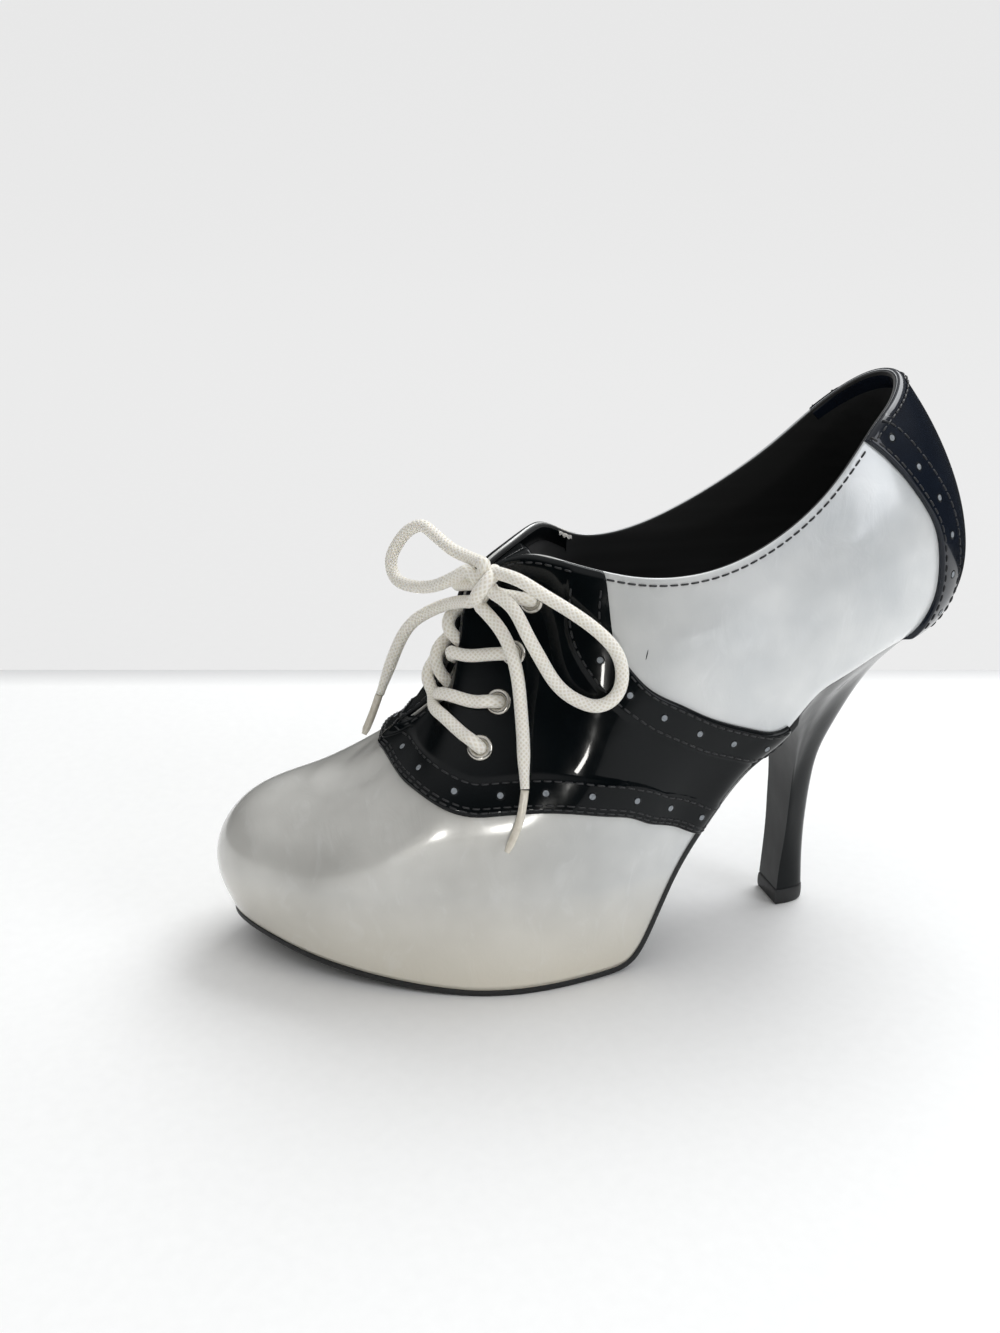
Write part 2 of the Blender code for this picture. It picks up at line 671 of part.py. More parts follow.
def make_eyelet(name, station, rise, finish):
    """A rolled ring that lies on the patent leather."""
    centre = offset(station, rise, OVERLAY_GAP + OVERLAY + GAP)
    normal = shell_normal(station, rise)
    along = unit(shell(station, rise + REACH) - shell(station, rise - REACH))
    across = np.cross(normal, along)
    profile = ((EYELET_BORE, 0), (EYELET_RADIUS, 0), (EYELET_RADIUS - EYELET_ROLL, EYELET_HEIGHT),
               (EYELET_BORE + EYELET_ROLL, EYELET_HEIGHT))
    turns = np.linspace(0, 2 * math.pi, EYELET_ROUND, endpoint=False)
    grid = [centre + radius * (math.cos(t) * along + math.sin(t) * across) + height * normal
            for t in turns for radius, height in profile]
    around, across = EYELET_ROUND, len(profile)
    faces = [[i * across + j, i * across + (j + 1) % across,
              (i + 1) % around * across + (j + 1) % across, (i + 1) % around * across + j]
             for i in range(around) for j in range(across)]
    return add(name, grid, faces, finish)


def make_cord(name, route, diameter, finish):
    """A round cord along a smooth curve through the points of its route."""
    route = np.array(route)
    run = np.append(0, np.cumsum(np.linalg.norm(np.diff(route, axis=0), axis=1)))
    count = max(round(run[-1] / (CORD_STEP * diameter)), 2) + 1
    places = spline(run, route, np.linspace(0, run[-1], count))
    line = bpy.data.curves.new(name, "CURVE")
    line.dimensions = "3D"
    line.bevel_depth = diameter / 2
    line.bevel_resolution = int(CORD_ROUND)
    line.use_fill_caps = True
    line.materials.append(finish)
    path = line.splines.new("POLY")
    path.points.add(count - 1)
    for point, place in zip(path.points, places):
        point.co = (*place, 1)
    made = bpy.data.objects.new(name, line)
    bpy.context.collection.objects.link(made)
    return made


def strand(row, inner):
    """A lace from above its eyelet to above the edge of its facing."""
    station, rise, edge = EYELETS[row]
    share = np.linspace(0, 1, STRAND_POINTS)
    way = station + (edge - station) * share
    lift = OVERLAY_GAP + OVERLAY + GAP + EYELET_HEIGHT + CORD_CLEAR + LACE / 2
    return offset(STATIONS - way if inner else way, rise + (1 - rise) * share,
                  np.full(STRAND_POINTS, lift))


def make_crossing(row, finish):
    """The two strands between one pair of eyelets, joined in a bridge over the throat."""
    outer, inner = strand(row, False), strand(row, True)
    middle = (outer[-1:] + inner[-1:]) / 2
    return make_cord(f"lace_crossing_{row + 1}", np.concatenate([outer, middle, inner[::-1]]),
                     LACE, finish)


def make_knot(centre, finish):
    turn = np.linspace(0, 2 * math.pi, KNOT_ROUND, endpoint=False)
    tilt = np.linspace(-math.pi / 2, math.pi / 2, KNOT_ROUND // 2 + 1)
    rings = []
    for up in tilt[1:-1]:
        ring = np.stack([np.cos(turn) * math.cos(up), np.sin(turn) * math.cos(up),
                         np.full(KNOT_ROUND, math.sin(up))], 1)
        rings.append(centre + ring * np.array(KNOT_SIZE) / 2)
    return stack("lace_knot", rings, round_rungs(KNOT_ROUND), finish)


def main():
    for thing in list(bpy.data.objects):
        bpy.data.objects.remove(thing, do_unlink=True)
    pearl = material("pearl_patent", *PEARL)
    patent = material("black_patent", *PATENT)
    lining = material("black_lining", *LINING)
    rubber = material("black_rubber", *RUBBER)
    silver = material("eyelet_metal", *SILVER)
    lace = material("lace", *LACE_WHITE)
    make_sole(rubber)
    make_upper(pearl)
    make_tongue(patent)
    make_insole(lining)
    make_saddle(patent)
    make_counter(patent)
    make_heel(patent)
    make_heel_tip(rubber)
    for number, (station, rise, _) in enumerate(EYELETS, 1):
        make_eyelet(f"eyelet_outer_{number}", station, rise, silver)
        make_eyelet(f"eyelet_inner_{number}", STATIONS - station, rise, silver)
    top = len(EYELETS) - 1
    for row in range(top):
        make_crossing(row, lace)
    outer, inner = strand(top, False)[:1], strand(top, True)
    knot = offset(*KNOT_ON, KNOT_OUT)
    ends = knot + np.array([TOP_STRAND_OUTER, TOP_STRAND_INNER]) * KNOT_CLEAR
    make_cord("lace_top_outer", np.concatenate([outer, ends[:1]]), LACE, lace)
    make_cord("lace_top_inner", np.concatenate([inner, ends[1:]]), LACE, lace)
    make_knot(knot, lace)
    for name, route, diameter in (
            ("lace_loop_outer", LOOP_OUTER, LACE), ("lace_loop_inner", LOOP_INNER, LACE),
            ("lace_end_outer", END_OUTER, LACE), ("lace_end_inner", END_INNER, LACE),
            ("aglet_outer", AGLET_OUTER, AGLET), ("aglet_inner", AGLET_INNER, AGLET)):
        make_cord(name, knot + route, diameter, lace)


main()
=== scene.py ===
"""The looks of the left shoe of a pair of high-heeled spectator lace-ups.

Everything is in metres in the frame of the CAD model: +Z up, the toe towards -Y, the outer side of
the foot +X, the origin at the centre of the heel tip's ground face.

The shoe's skin is drawn as in the CAD source, with a station that runs round the shoe from the back
of the heel over the outer side to the toe and back along the inner side, and a rise from 0 at the
feather line, where the upper meets the sole, to 1 at the top edge. Every panel, seam, hole and
eyelet has its place on that skin.
"""
import math

import bpy
import numpy as np
from mathutils import Matrix, Vector


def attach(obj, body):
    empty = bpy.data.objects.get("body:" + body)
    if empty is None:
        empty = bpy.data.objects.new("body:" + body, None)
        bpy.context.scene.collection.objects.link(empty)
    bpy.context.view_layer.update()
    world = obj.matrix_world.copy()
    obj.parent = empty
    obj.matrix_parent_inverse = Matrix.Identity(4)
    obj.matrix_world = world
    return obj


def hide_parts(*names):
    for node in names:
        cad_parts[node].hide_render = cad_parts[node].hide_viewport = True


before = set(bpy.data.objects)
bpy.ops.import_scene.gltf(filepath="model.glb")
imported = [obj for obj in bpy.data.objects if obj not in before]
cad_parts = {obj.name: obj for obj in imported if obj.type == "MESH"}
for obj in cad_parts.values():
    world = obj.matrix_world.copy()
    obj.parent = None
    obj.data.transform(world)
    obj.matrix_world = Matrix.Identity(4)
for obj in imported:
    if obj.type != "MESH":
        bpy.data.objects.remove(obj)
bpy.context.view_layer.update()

# Driving sizes
SOLE_LENGTH = 0.2190    # feather line, from the back of the heel seat to the tip of the toe
SEAT_BACK = 0.0370      # back of the heel seat, behind the centre of the heel tip
BALL_WIDTH = 0.0800     # across the feather line at the ball
HEEL_HEIGHT = 0.0968    # feather line at the back of the seat, above the floor
COUNTER_HEIGHT = 0.0750  # top edge above the feather line at the back
INSTEP_HEIGHT = 0.1290  # peak of the facings, above the floor
TOP_LENGTH = 0.1555     # top edge, from the back of the collar to the front end of the throat
TOP_BACK = 0.0255       # back of the top edge, behind the centre of the heel tip
TOP_WIDTH = 0.0640      # across the collar opening
WALL = 0.0020           # upper with its lining
GAP = 0.0003            # between faces that meet
LINING_GAP = 0.00075    # between the upper's faceted inside and the sole or insole in it
OUTSOLE = 0.0020
TOE_SPRING = 0.0098
INSOLE = 0.0020
PLATFORM = 0.0190       # under the ball, above the outsole
SHANK = 0.0036          # sole between the heel and the platform
TONGUE = 0.0016
TONGUE_GAP = 0.0012     # between the facings' inside and the loose tongue
TONGUE_RISE = 0.0025    # the tongue stands above the facings
TIP_WIDTH = 0.0136
TIP_DEPTH = 0.0112
TIP_HEIGHT = 0.0056
TIP_LIP = 0.0003        # the tip stands proud of the heel above it
TIP_SIDE_CURVE = 0.75   # powers that make its D fuller than an ellipse, at the sides and the back
TIP_BACK_CURVE = 0.8
EYELET_RADIUS = 0.0032
EYELET_BORE = 0.0019
LACE = 0.0038
AGLET = 0.0024          # the film-wrapped tip of the lace

TREAD = OUTSOLE + GAP    # the feather line above the floor where the sole lies flat


# How far to each side a slope is measured: along the shoe, in stations and in rises
SLOPE_REACH = 0.002
STATION_REACH = 0.045
REACH = 0.008
EVEN_RISE = 0.86        # above this the way out of the skin turns no more

# The feather line, one row for each station from the back of the seat, round the outer side, the
# toe and the inner side. across is a share of half the ball width, along of the sole length.
FEATHER = (
    # across, along
    (0.000, 0.000),
    (0.325, 0.020),
    (0.580, 0.085),
    (0.700, 0.172),
    (0.690, 0.260),
    (0.715, 0.345),
    (0.790, 0.437),
    (0.888, 0.537),
    (0.925, 0.645),
    (0.740, 0.762),
    (0.410, 0.872),
    (0.050, 0.945),
    (-0.425, 0.996),
    (-0.800, 0.955),
    (-1.025, 0.873),
    (-1.088, 0.772),
    (-1.025, 0.662),
    (-0.850, 0.553),
    (-0.663, 0.443),
    (-0.563, 0.347),
    (-0.550, 0.252),
    (-0.600, 0.160),
    (-0.520, 0.072),
    (-0.300, 0.018),
)
STATIONS = len(FEATHER)

# The feather line from the side, above the tread: how much of the heel height and of the toe
# spring it has risen. The first rows are the heel seat, and the next fall along the shank.
SIDE_PROFILE = (
    # along, heel, spring
    (-0.010, 1.0000, 0.000),
    (0.060, 0.9940, 0.000),
    (0.115, 0.9670, 0.000),
    (0.170, 0.9100, 0.000),
    (0.212, 0.8460, 0.000),
    (0.250, 0.7360, 0.000),
    (0.300, 0.6430, 0.000),
    (0.370, 0.4490, 0.000),
    (0.410, 0.3010, 0.000),
    (0.438, 0.1600, 0.000),
    (0.462, 0.0525, 0.000),
    (0.500, 0.0045, 0.000),
    (0.560, 0.0000, 0.000),
    (0.690, 0.0000, 0.000),
    (0.760, 0.0000, 0.105),
    (0.830, 0.0000, 0.290),
    (0.910, 0.0000, 0.600),
    (1.000, 0.0000, 1.000),
)

# The top edge: station, half-widths of the collar, share of the top length, and how high it is. Up
# to 1 that is a share of the instep height, and COUNTER_RISE above 1 is the counter's top edge.
# Stations 8 to 16 are the throat.
COUNTER_RISE = 0.33
TOP_EDGE = (
    # station, across, along, up
    (0.0, -0.010, 0.005, 1.345),
    (1.0, 0.405, 0.058, 1.303),
    (2.0, 0.700, 0.130, 1.250),
    (3.0, 0.870, 0.222, 1.132),
    (4.0, 0.965, 0.338, 1.030),
    (5.0, 0.980, 0.460, 0.974),
    (6.0, 0.910, 0.576, 0.965),
    (6.7, 0.820, 0.650, 0.980),
    (7.3, 0.630, 0.718, 0.998),
    (7.8, 0.385, 0.772, 1.000),
    (8.2, 0.190, 0.823, 0.968),
    (8.8, 0.105, 0.866, 0.884),
    (9.4, 0.095, 0.874, 0.783),
    (10.2, 0.100, 0.895, 0.690),
    (11.0, 0.090, 0.942, 0.624),
    (11.6, 0.056, 0.984, 0.593),
    (12.0, 0.000, 1.000, 0.582),
    (12.4, -0.056, 0.984, 0.593),
    (13.0, -0.090, 0.942, 0.624),
    (13.8, -0.100, 0.895, 0.690),
    (14.6, -0.103, 0.874, 0.783),
    (15.2, -0.120, 0.866, 0.884),
    (15.8, -0.230, 0.811, 0.956),
    (16.2, -0.420, 0.752, 0.985),
    (16.8, -0.740, 0.678, 0.998),
    (17.3, -0.960, 0.614, 0.960),
    (18.3, -1.015, 0.498, 0.946),
    (19.2, -1.000, 0.383, 0.993),
    (20.0, -0.985, 0.274, 1.062),
    (21.0, -0.905, 0.170, 1.155),
    (22.0, -0.750, 0.086, 1.256),
    (23.0, -0.365, 0.028, 1.337),
)

# How far each section bulges past the straight line from the feather to the top edge, at five
# shares of the way up, in shares of half the ball width.
BULGE_AT = (0.05, 0.18, 0.38, 0.62, 0.84)
SECTIONS = (
    # station, five bulges
    (0, 0.140, 0.340, 0.405, 0.330, 0.170),
    (2, 0.105, 0.195, 0.225, 0.185, 0.090),
    (4, 0.070, 0.125, 0.150, 0.120, 0.060),
    (6, 0.050, 0.090, 0.150, 0.165, 0.090),
    (7, 0.050, 0.130, 0.240, 0.200, 0.095),
    (8, 0.055, 0.165, 0.285, 0.150, 0.030),
    (9, 0.070, 0.220, 0.375, 0.270, 0.020),
    (10, 0.100, 0.330, 0.480, 0.300, 0.060),
    (11, 0.120, 0.365, 0.435, 0.275, 0.055),
    (12, 0.145, 0.435, 0.505, 0.228, 0.018),
    (13, 0.125, 0.375, 0.440, 0.250, 0.045),
    (14, 0.095, 0.275, 0.400, 0.265, 0.055),
    (15, 0.075, 0.215, 0.375, 0.230, 0.020),
    (16, 0.060, 0.165, 0.280, 0.150, 0.030),
    (17, 0.040, 0.090, 0.165, 0.175, 0.100),
    (18, 0.015, 0.040, 0.080, 0.100, 0.060),
    (20, 0.050, 0.100, 0.125, 0.100, 0.050),
    (22, 0.100, 0.180, 0.220, 0.180, 0.090),
)

# The foot bed from the side: along the sole, and how far it has risen from the platform under the
# ball to the heel seat.
BED = (
    # along, rise
    (-0.010, 1.000),
    (0.060, 0.993),
    (0.115, 0.963),
    (0.170, 0.898),
    (0.212, 0.822),
    (0.250, 0.700),
    (0.300, 0.597),
    (0.370, 0.384),
    (0.410, 0.258),
    (0.443, 0.158),
    (0.489, 0.066),
    (0.543, 0.018),
    (0.600, 0.000),
    (0.740, 0.000),
    (0.854, 0.025),
    (1.000, 0.110),
)

# The saddle, one row for each cut across it from the heel breast on the outer side to the front
# of the throat: where its lower and its upper edge lie. The inner side mirrors the stations. A low
# rise below 0 is on the feather line, and only sets how the lower edge leaves it.
SADDLE = (
    # low station, low rise, high station, high rise
    (3.88, -0.600, 3.90, 0.095),
    (4.35, -0.400, 4.40, 0.200),
    (4.85, -0.200, 5.05, 0.413),
    (5.30, -0.005, 5.70, 0.613),
    (5.66, 0.163, 6.28, 0.750),
    (6.03, 0.320, 6.66, 0.830),
    (6.42, 0.414, 6.77, 0.910),
    (6.83, 0.436, 6.72, 1.000),
    (7.30, 0.440, 7.28, 1.000),
    (7.75, 0.438, 7.80, 1.000),
    (8.25, 0.440, 8.22, 1.000),
    (8.75, 0.475, 8.80, 1.000),
    (9.40, 0.568, 9.40, 1.000),
    (10.00, 0.650, 10.20, 1.000),
    (10.60, 0.735, 10.90, 1.000),
    (11.30, 0.838, 11.50, 1.000),
    (12.00, 0.905, 12.00, 1.000),
)

# The counter's front edge, the same on both sides of the heel.
COUNTER = (
    # rise, station
    (0.00, 1.80),
    (0.10, 1.70),
    (0.20, 1.55),
    (0.35, 1.44),
    (0.50, 1.41),
    (0.62, 1.53),
    (0.75, 1.72),
    (0.88, 1.96),
    (1.00, 2.22),
)

# The outer row of eyelets from the toe up, which the inner row mirrors, and the throat's edge
# beside each.
EYELETS = (
    # station, rise, station of the edge
    (8.40, 0.600, 10.60),
    (8.15, 0.688, 10.05),
    (7.95, 0.788, 9.40),
    (7.72, 0.900, 8.80),
)

TONGUE_SIDES = (0.86, 1.00)     # the rises between which the tongue's sides lie under the facings

# The heel: share of the way from the tip to the seat, and how far the outline has moved from the
# tip's to the seat's at the back, at the sides and at the breast.
HEEL_STEPS = (
    # up, back, side, breast
    (0.00, 0.000, 0.000, 0.00),
    (0.12, -0.015, -0.015, -0.12),
    (0.26, -0.010, 0.000, -0.28),
    (0.40, 0.020, 0.030, -0.32),
    (0.53, 0.095, 0.065, -0.32),
    (0.64, 0.240, 0.160, -0.20),
    (0.76, 0.420, 0.340, 0.05),
    (0.87, 0.610, 0.590, 0.50),
    (0.95, 0.800, 0.830, 0.90),
    (1.00, 0.970, 0.990, 1.00),
)
BREAST_STATION = 3.53   # where the heel's front face meets the feather line, on each side
OUTSOLE_STATION = 3.65  # where the outsole begins, in front of the heel

# The bow. Its knot rests on the outer facing, and each free cord has its own route from the centre
# of the knot, chosen from the photograph, with both ends of a loop at the knot.
KNOT_ON = (8.150, 0.946)    # station and rise
KNOT_OUT = 0.00751          # centre of the knot, out from the upper's face
LOOP_OUTER = (
    (0.0035, 0.0030, 0.0045), (0.0110, 0.0078, 0.0038), (0.0137, 0.0122, 0.0011),
    (0.0164, 0.0172, -0.0020), (0.0190, 0.0222, -0.0053), (0.0222, 0.0285, -0.0106),
    (0.0237, 0.0319, -0.0154), (0.0250, 0.0329, -0.0209), (0.0260, 0.0306, -0.0269),
    (0.0252, 0.0260, -0.0294), (0.0232, 0.0214, -0.0285), (0.0202, 0.0164, -0.0250),
    (0.0172, 0.0117, -0.0173), (0.0152, 0.0079, -0.0097), (0.0110, 0.0050, -0.0035),
    (0.0054, 0.0012, -0.0007),
)
LOOP_INNER = (
    (0.0000, -0.0008, 0.0068), (-0.0076, -0.0032, 0.0067), (-0.0128, -0.0062, 0.0075),
    (-0.0188, -0.0083, 0.0088), (-0.0238, -0.0102, 0.0103), (-0.0278, -0.0120, 0.0113),
    (-0.0328, -0.0157, 0.0087), (-0.0358, -0.0186, 0.0038), (-0.0363, -0.0204, -0.0009),
    (-0.0338, -0.0201, -0.0049), (-0.0278, -0.0179, -0.0062), (-0.0188, -0.0136, -0.0048),
    (-0.0098, -0.0092, -0.0009), (-0.0042, -0.0052, 0.0033),
)
END_OUTER = (
    (0.0029, -0.0018, -0.0054), (0.0079, 0.0026, -0.0111), (0.0115, 0.0049, -0.0172),
    (0.0137, 0.0060, -0.0240), (0.0150, 0.0066, -0.0327), (0.0174, 0.0066, -0.0408),
    (0.0207, 0.0060, -0.0480), (0.0232, 0.0056, -0.0534),
)
END_INNER = (
    (-0.0025, -0.0041, -0.0051), (-0.0088, -0.0059, -0.0070), (-0.0148, -0.0085, -0.0095),
    (-0.0208, -0.0118, -0.0130), (-0.0258, -0.0164, -0.0180), (-0.0288, -0.0197, -0.0245),
    (-0.0303, -0.0220, -0.0309), (-0.0308, -0.0240, -0.0365), (-0.0308, -0.0260, -0.0419),
)
AGLET_OUTER = (
    (0.0232, 0.0056, -0.0537), (0.0250, 0.0037, -0.0620), (0.0260, -0.0003, -0.0711),
)
AGLET_INNER = (
    (-0.0308, -0.0263, -0.0422), (-0.0308, -0.0291, -0.0496), (-0.0303, -0.0315, -0.0545),
)
TOP_STRAND_OUTER = (0.0039, 0.0043, -0.0024)   # where the strands of the last eyelets meet the
TOP_STRAND_INNER = (-0.0047, -0.0024, -0.0006)  # knot, from its centre


def bends(step, v):
    """Second slopes of the natural cubic through values v, one step apart each."""
    count = v.shape[-2]
    system = np.zeros(v.shape[:-2] + (count, count))
    right = np.zeros_like(v)
    system[..., 0, 0] = system[..., -1, -1] = 1
    for i in range(1, count - 1):
        before, after = step[..., i - 1], step[..., i]
        system[..., i, i - 1] = before
        system[..., i, i] = 2 * (before + after)
        system[..., i, i + 1] = after
        right[..., i, :] = 6 * ((v[..., i + 1, :] - v[..., i, :]) / after[..., None]
                                - (v[..., i, :] - v[..., i - 1, :]) / before[..., None])
    return np.linalg.solve(system, right)


def cubic(a, step, low, high, bend_low, bend_high):
    """A cubic's value where a is the share that is left of its step."""
    b = 1 - a
    curve = (a ** 3 - a) * bend_low + (b ** 3 - b) * bend_high
    return a * low + b * high + curve * step ** 2 / 6


def spline(at, values, where, period=None):
    """A smooth curve through rows of values, natural at its ends or closed with a period."""
    t, v = np.asarray(at, float), np.asarray(values, float)
    if v.ndim == 1:
        v = v[:, None]
    where = np.asarray(where, float)
    if period:
        t = np.concatenate([t - period, t, t + period])
        v = np.concatenate([v, v, v])
        where = where % period
    step = np.diff(t)
    bend = bends(step, v)
    i = np.clip(np.searchsorted(t, where, side="right") - 1, 0, len(t) - 2)
    left = ((t[i + 1] - where) / step[i])[..., None]
    return cubic(left, step[i][..., None], v[i], v[i + 1], bend[i], bend[i + 1])


def along_ribs(knots, rise):
    """Places on smooth ribs, one rib of knots for each rise, by share of the rib's length."""
    step = np.linalg.norm(np.diff(knots, axis=-2), axis=-1)
    run = np.concatenate([np.zeros_like(step[..., :1]), np.cumsum(step, -1)], -1)
    where = rise * run[..., -1]
    i = np.clip((where[..., None] >= run).sum(-1) - 1, 0, knots.shape[-2] - 2)[..., None]
    bend = bends(step, knots)
    low, high = (np.take_along_axis(knots, (i + k)[..., None], -2)[..., 0, :] for k in (0, 1))
    bend_low, bend_high = (np.take_along_axis(bend, (i + k)[..., None], -2)[..., 0, :]
                           for k in (0, 1))
    size = np.take_along_axis(step, i, -1)
    left = (np.take_along_axis(run, i + 1, -1) - where[..., None]) / size
    return cubic(left, size, low, high, bend_low, bend_high)


def columns(table):
    """A table's first column, and the others."""
    rows = np.array(table, float)
    return rows[:, 0], rows[:, 1:]


def side_height(y):
    """The feather line's height at a place along the shoe."""
    along = (SEAT_BACK - y) / SOLE_LENGTH
    up = np.maximum(spline(*columns(SIDE_PROFILE), along), 0)
    return TREAD + up[..., 0] * (HEEL_HEIGHT - TREAD) + up[..., 1] * TOE_SPRING


def bed_height(y):
    """The top of the sole, under the insole."""
    rise = np.maximum(spline(*columns(BED), (SEAT_BACK - y) / SOLE_LENGTH)[..., 0], 0)
    low, high = TREAD + PLATFORM, HEEL_HEIGHT + SHANK
    return low + rise * (high - low)


def side_slope(y):
    """How much longer the sole is than its plan there."""
    rise = (side_height(y + SLOPE_REACH) - side_height(y - SLOPE_REACH)) / (2 * SLOPE_REACH)
    return np.sqrt(1 + rise ** 2)


def feather(station):
    """The bottom edge of the upper's outer face."""
    rows = np.array(FEATHER)
    plan = spline(range(STATIONS), rows, station, STATIONS)
    y = SEAT_BACK - plan[..., 1] * SOLE_LENGTH
    return np.stack([plan[..., 0] * BALL_WIDTH / 2, y, side_height(y)], -1)


def top_edge(station):
    edge = spline(*columns(TOP_EDGE), station, STATIONS)
    x = edge[..., 0] * TOP_WIDTH / 2
    y = TOP_BACK - edge[..., 1] * TOP_LENGTH
    seat = np.maximum((edge[..., 2] - 1) / COUNTER_RISE, 0)
    z = np.where(seat > 0, INSTEP_HEIGHT + seat * (HEEL_HEIGHT + COUNTER_HEIGHT - INSTEP_HEIGHT),
                 edge[..., 2] * INSTEP_HEIGHT)
    return np.stack([x, y, z], -1)


def unit(v):
    return v / np.maximum(np.linalg.norm(v, axis=-1, keepdims=True), 1e-12)


def shell(station, rise):
    """The upper's outer face: station round the shoe, rise from 0 at the feather to 1 on top."""
    station, rise = np.broadcast_arrays(np.asarray(station, float), np.asarray(rise, float))
    low, high = feather(station), top_edge(station)
    way = feather(station + STATION_REACH) - feather(station - STATION_REACH)
    out = unit(np.stack([-way[..., 1], way[..., 0], 0 * way[..., 0]], -1))
    chord = high - low
    along = unit(chord)
    out = unit(out - (out * along).sum(-1, keepdims=True) * along)
    bulges = spline(*columns(SECTIONS), station, STATIONS) * BALL_WIDTH / 2
    knots = [low] + [low + chord * share + out * bulges[..., i:i + 1]
                     for i, share in enumerate(BULGE_AT)] + [high]
    return along_ribs(np.stack(knots, -2), rise)


def shell_normal(station, rise):
    """The way out of the outer face. Close to the top edge it stays what it is below it."""
    rise = np.minimum(rise, EVEN_RISE)
    station, rise = np.broadcast_arrays(np.asarray(station, float), np.asarray(rise, float))
    up = shell(station, rise + REACH) - shell(station, np.maximum(rise - REACH, 0))
    on = shell(station + STATION_REACH, rise) - shell(station - STATION_REACH, rise)
    return unit(np.cross(up, on))


def offset(station, rise, out):
    """A place a given way out from the upper's outer face, or in from it."""
    return shell(station, rise) + shell_normal(station, rise) * np.asarray(out)[..., None]


# The photograph's camera
LENS = 37.67
SENSOR = 36.0
CAMERA = (0.381205, -0.197303, 0.235662)
CAMERA_AHEAD = (-0.908829, 0.234615, -0.344942)
CAMERA_UP = (-0.333993, 0.086221, 0.938624)

MM = 0.001


# Meshes

class Build:
    """Points and faces of one piece, gathered from grids and rings."""

    def __init__(self):
        self.points, self.faces, self.marks, self.uv, self.count = [], [], [], [], 0

    def grid(self, points, closed_rows=False, closed_columns=False, mark=0, run=None):
        """Faces between rows and columns of points. run gives the rows' places for a pattern."""
        points = np.asarray(points, float)
        rows, columns = points.shape[:2]
        i, j = np.meshgrid(np.arange(rows if closed_rows else rows - 1),
                           np.arange(columns if closed_columns else columns - 1), indexing="ij")
        i, j = i.ravel(), j.ravel()
        i2, j2 = (i + 1) % rows, (j + 1) % columns
        at = self.count
        self.faces.append(at + np.stack([i * columns + j, i2 * columns + j,
                                         i2 * columns + j2, i * columns + j2], 1))
        self.marks.append(np.full(len(i), mark))
        run = np.arange(rows + 1) if run is None else np.append(run, run[-1])
        across = np.stack([j, j, j + 1, j + 1], 1) / columns
        self.uv.append(np.stack([across, np.stack([run[i], run[i + 1], run[i + 1], run[i]], 1)], -1))
        self.points.append(points.reshape(-1, 3))
        self.count += rows * columns
        return at

    def draw(self, name, finishes, sharp=None):
        """The object itself, with its finishes in the order of the marks."""
        points = np.concatenate(self.points)
        quads = np.concatenate(self.faces)
        mesh = bpy.data.meshes.new(name)
        mesh.from_pydata(points, [], quads.tolist())
        mesh.polygons.foreach_set("material_index", np.concatenate(self.marks).astype(np.int32))
        layer = mesh.uv_layers.new(name="weave")
        layer.data.foreach_set("uv", np.concatenate(self.uv).reshape(-1).astype(np.float32))
        mesh.shade_smooth()
        mesh.validate()
        if sharp:
            mesh.set_sharp_from_angle(angle=math.radians(sharp))
        for finish in finishes:
            mesh.materials.append(finish)
        made = bpy.data.objects.new(name, mesh)
        bpy.context.scene.collection.objects.link(made)
        return made

    def make(self, name, finishes, replaces=(), sharp=None):
        """A piece of the shoe, with the CAD nodes that it is drawn instead of."""
        made = self.draw(name, finishes, sharp)
        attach(made, "root")
        if replaces:
            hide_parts(*replaces)
        return made


def smoothstep(x):
    x = np.clip(x, 0, 1)
    return x * x * (3 - 2 * x)


def through(points, step):
    """Evenly spaced places on a smooth curve through points, and how far along each lies."""
    points = np.asarray(points, float)
    run = np.append(0, np.cumsum(np.linalg.norm(np.diff(points, axis=0), axis=1)))
    fine = spline(run, points, np.linspace(0, run[-1], 40 * len(points)))
    run = np.append(0, np.cumsum(np.linalg.norm(np.diff(fine, axis=0), axis=1)))
    count = max(int(round(run[-1] / step)), 3) + 1
    at = np.linspace(0, run[-1], count)
    return np.stack([np.interp(at, run, fine[:, k]) for k in range(3)], 1), at


def frames(path):
    """Two directions square to a path that turn with it as little as they can."""
    ahead = unit(np.gradient(path, axis=0))
    side = np.cross(ahead[0], (0.31, 0.47, 0.83))
    sides = []
    for a in ahead:
        side = side - a * (side @ a)
        side = side / np.linalg.norm(side)
        sides.append(side)
    sides = np.array(sides)
    return sides, np.cross(ahead, sides)


def tube(build, path, radius, sides, run=None):
    """A round cord with closed ends along a path. radius may change along it."""
    side, up = frames(path)
    turn = np.linspace(0, 2 * math.pi, sides, endpoint=False)
    radius = np.broadcast_to(radius, len(path))
    ring = (np.cos(turn)[None, :, None] * side[:, None]
            + np.sin(turn)[None, :, None] * up[:, None])
    points = path[:, None] + ring * radius[:, None, None]
    start = np.repeat(path[:1, None], sides, 1)
    end = np.repeat(path[-1:, None], sides, 1)
    if run is None:
        run = np.append(0, np.cumsum(np.linalg.norm(np.diff(path, axis=0), axis=1)))
    build.grid(np.concatenate([start, points, end]), closed_columns=True,
               run=np.concatenate([run[:1], run, run[-1:]]))


def on_skin(rows, step):
    """A smooth line on the skin through rows of station and rise, as stations and rises a step apart
    along it.
    """
    rows = np.asarray(rows, float)
    fine = spline(range(len(rows)), rows, np.linspace(0, len(rows) - 1, 30 * len(rows)))
    fine[:, 1] = np.clip(fine[:, 1], 0, 1)
    points = shell(fine[:, 0], fine[:, 1])
    run = np.append(0, np.cumsum(np.linalg.norm(np.diff(points, axis=0), axis=1)))
    at = np.linspace(0, run[-1], max(int(round(run[-1] / step)), 2) + 1)
    station, rise = (np.interp(at, run, fine[:, k]) for k in (0, 1))
    return station, rise


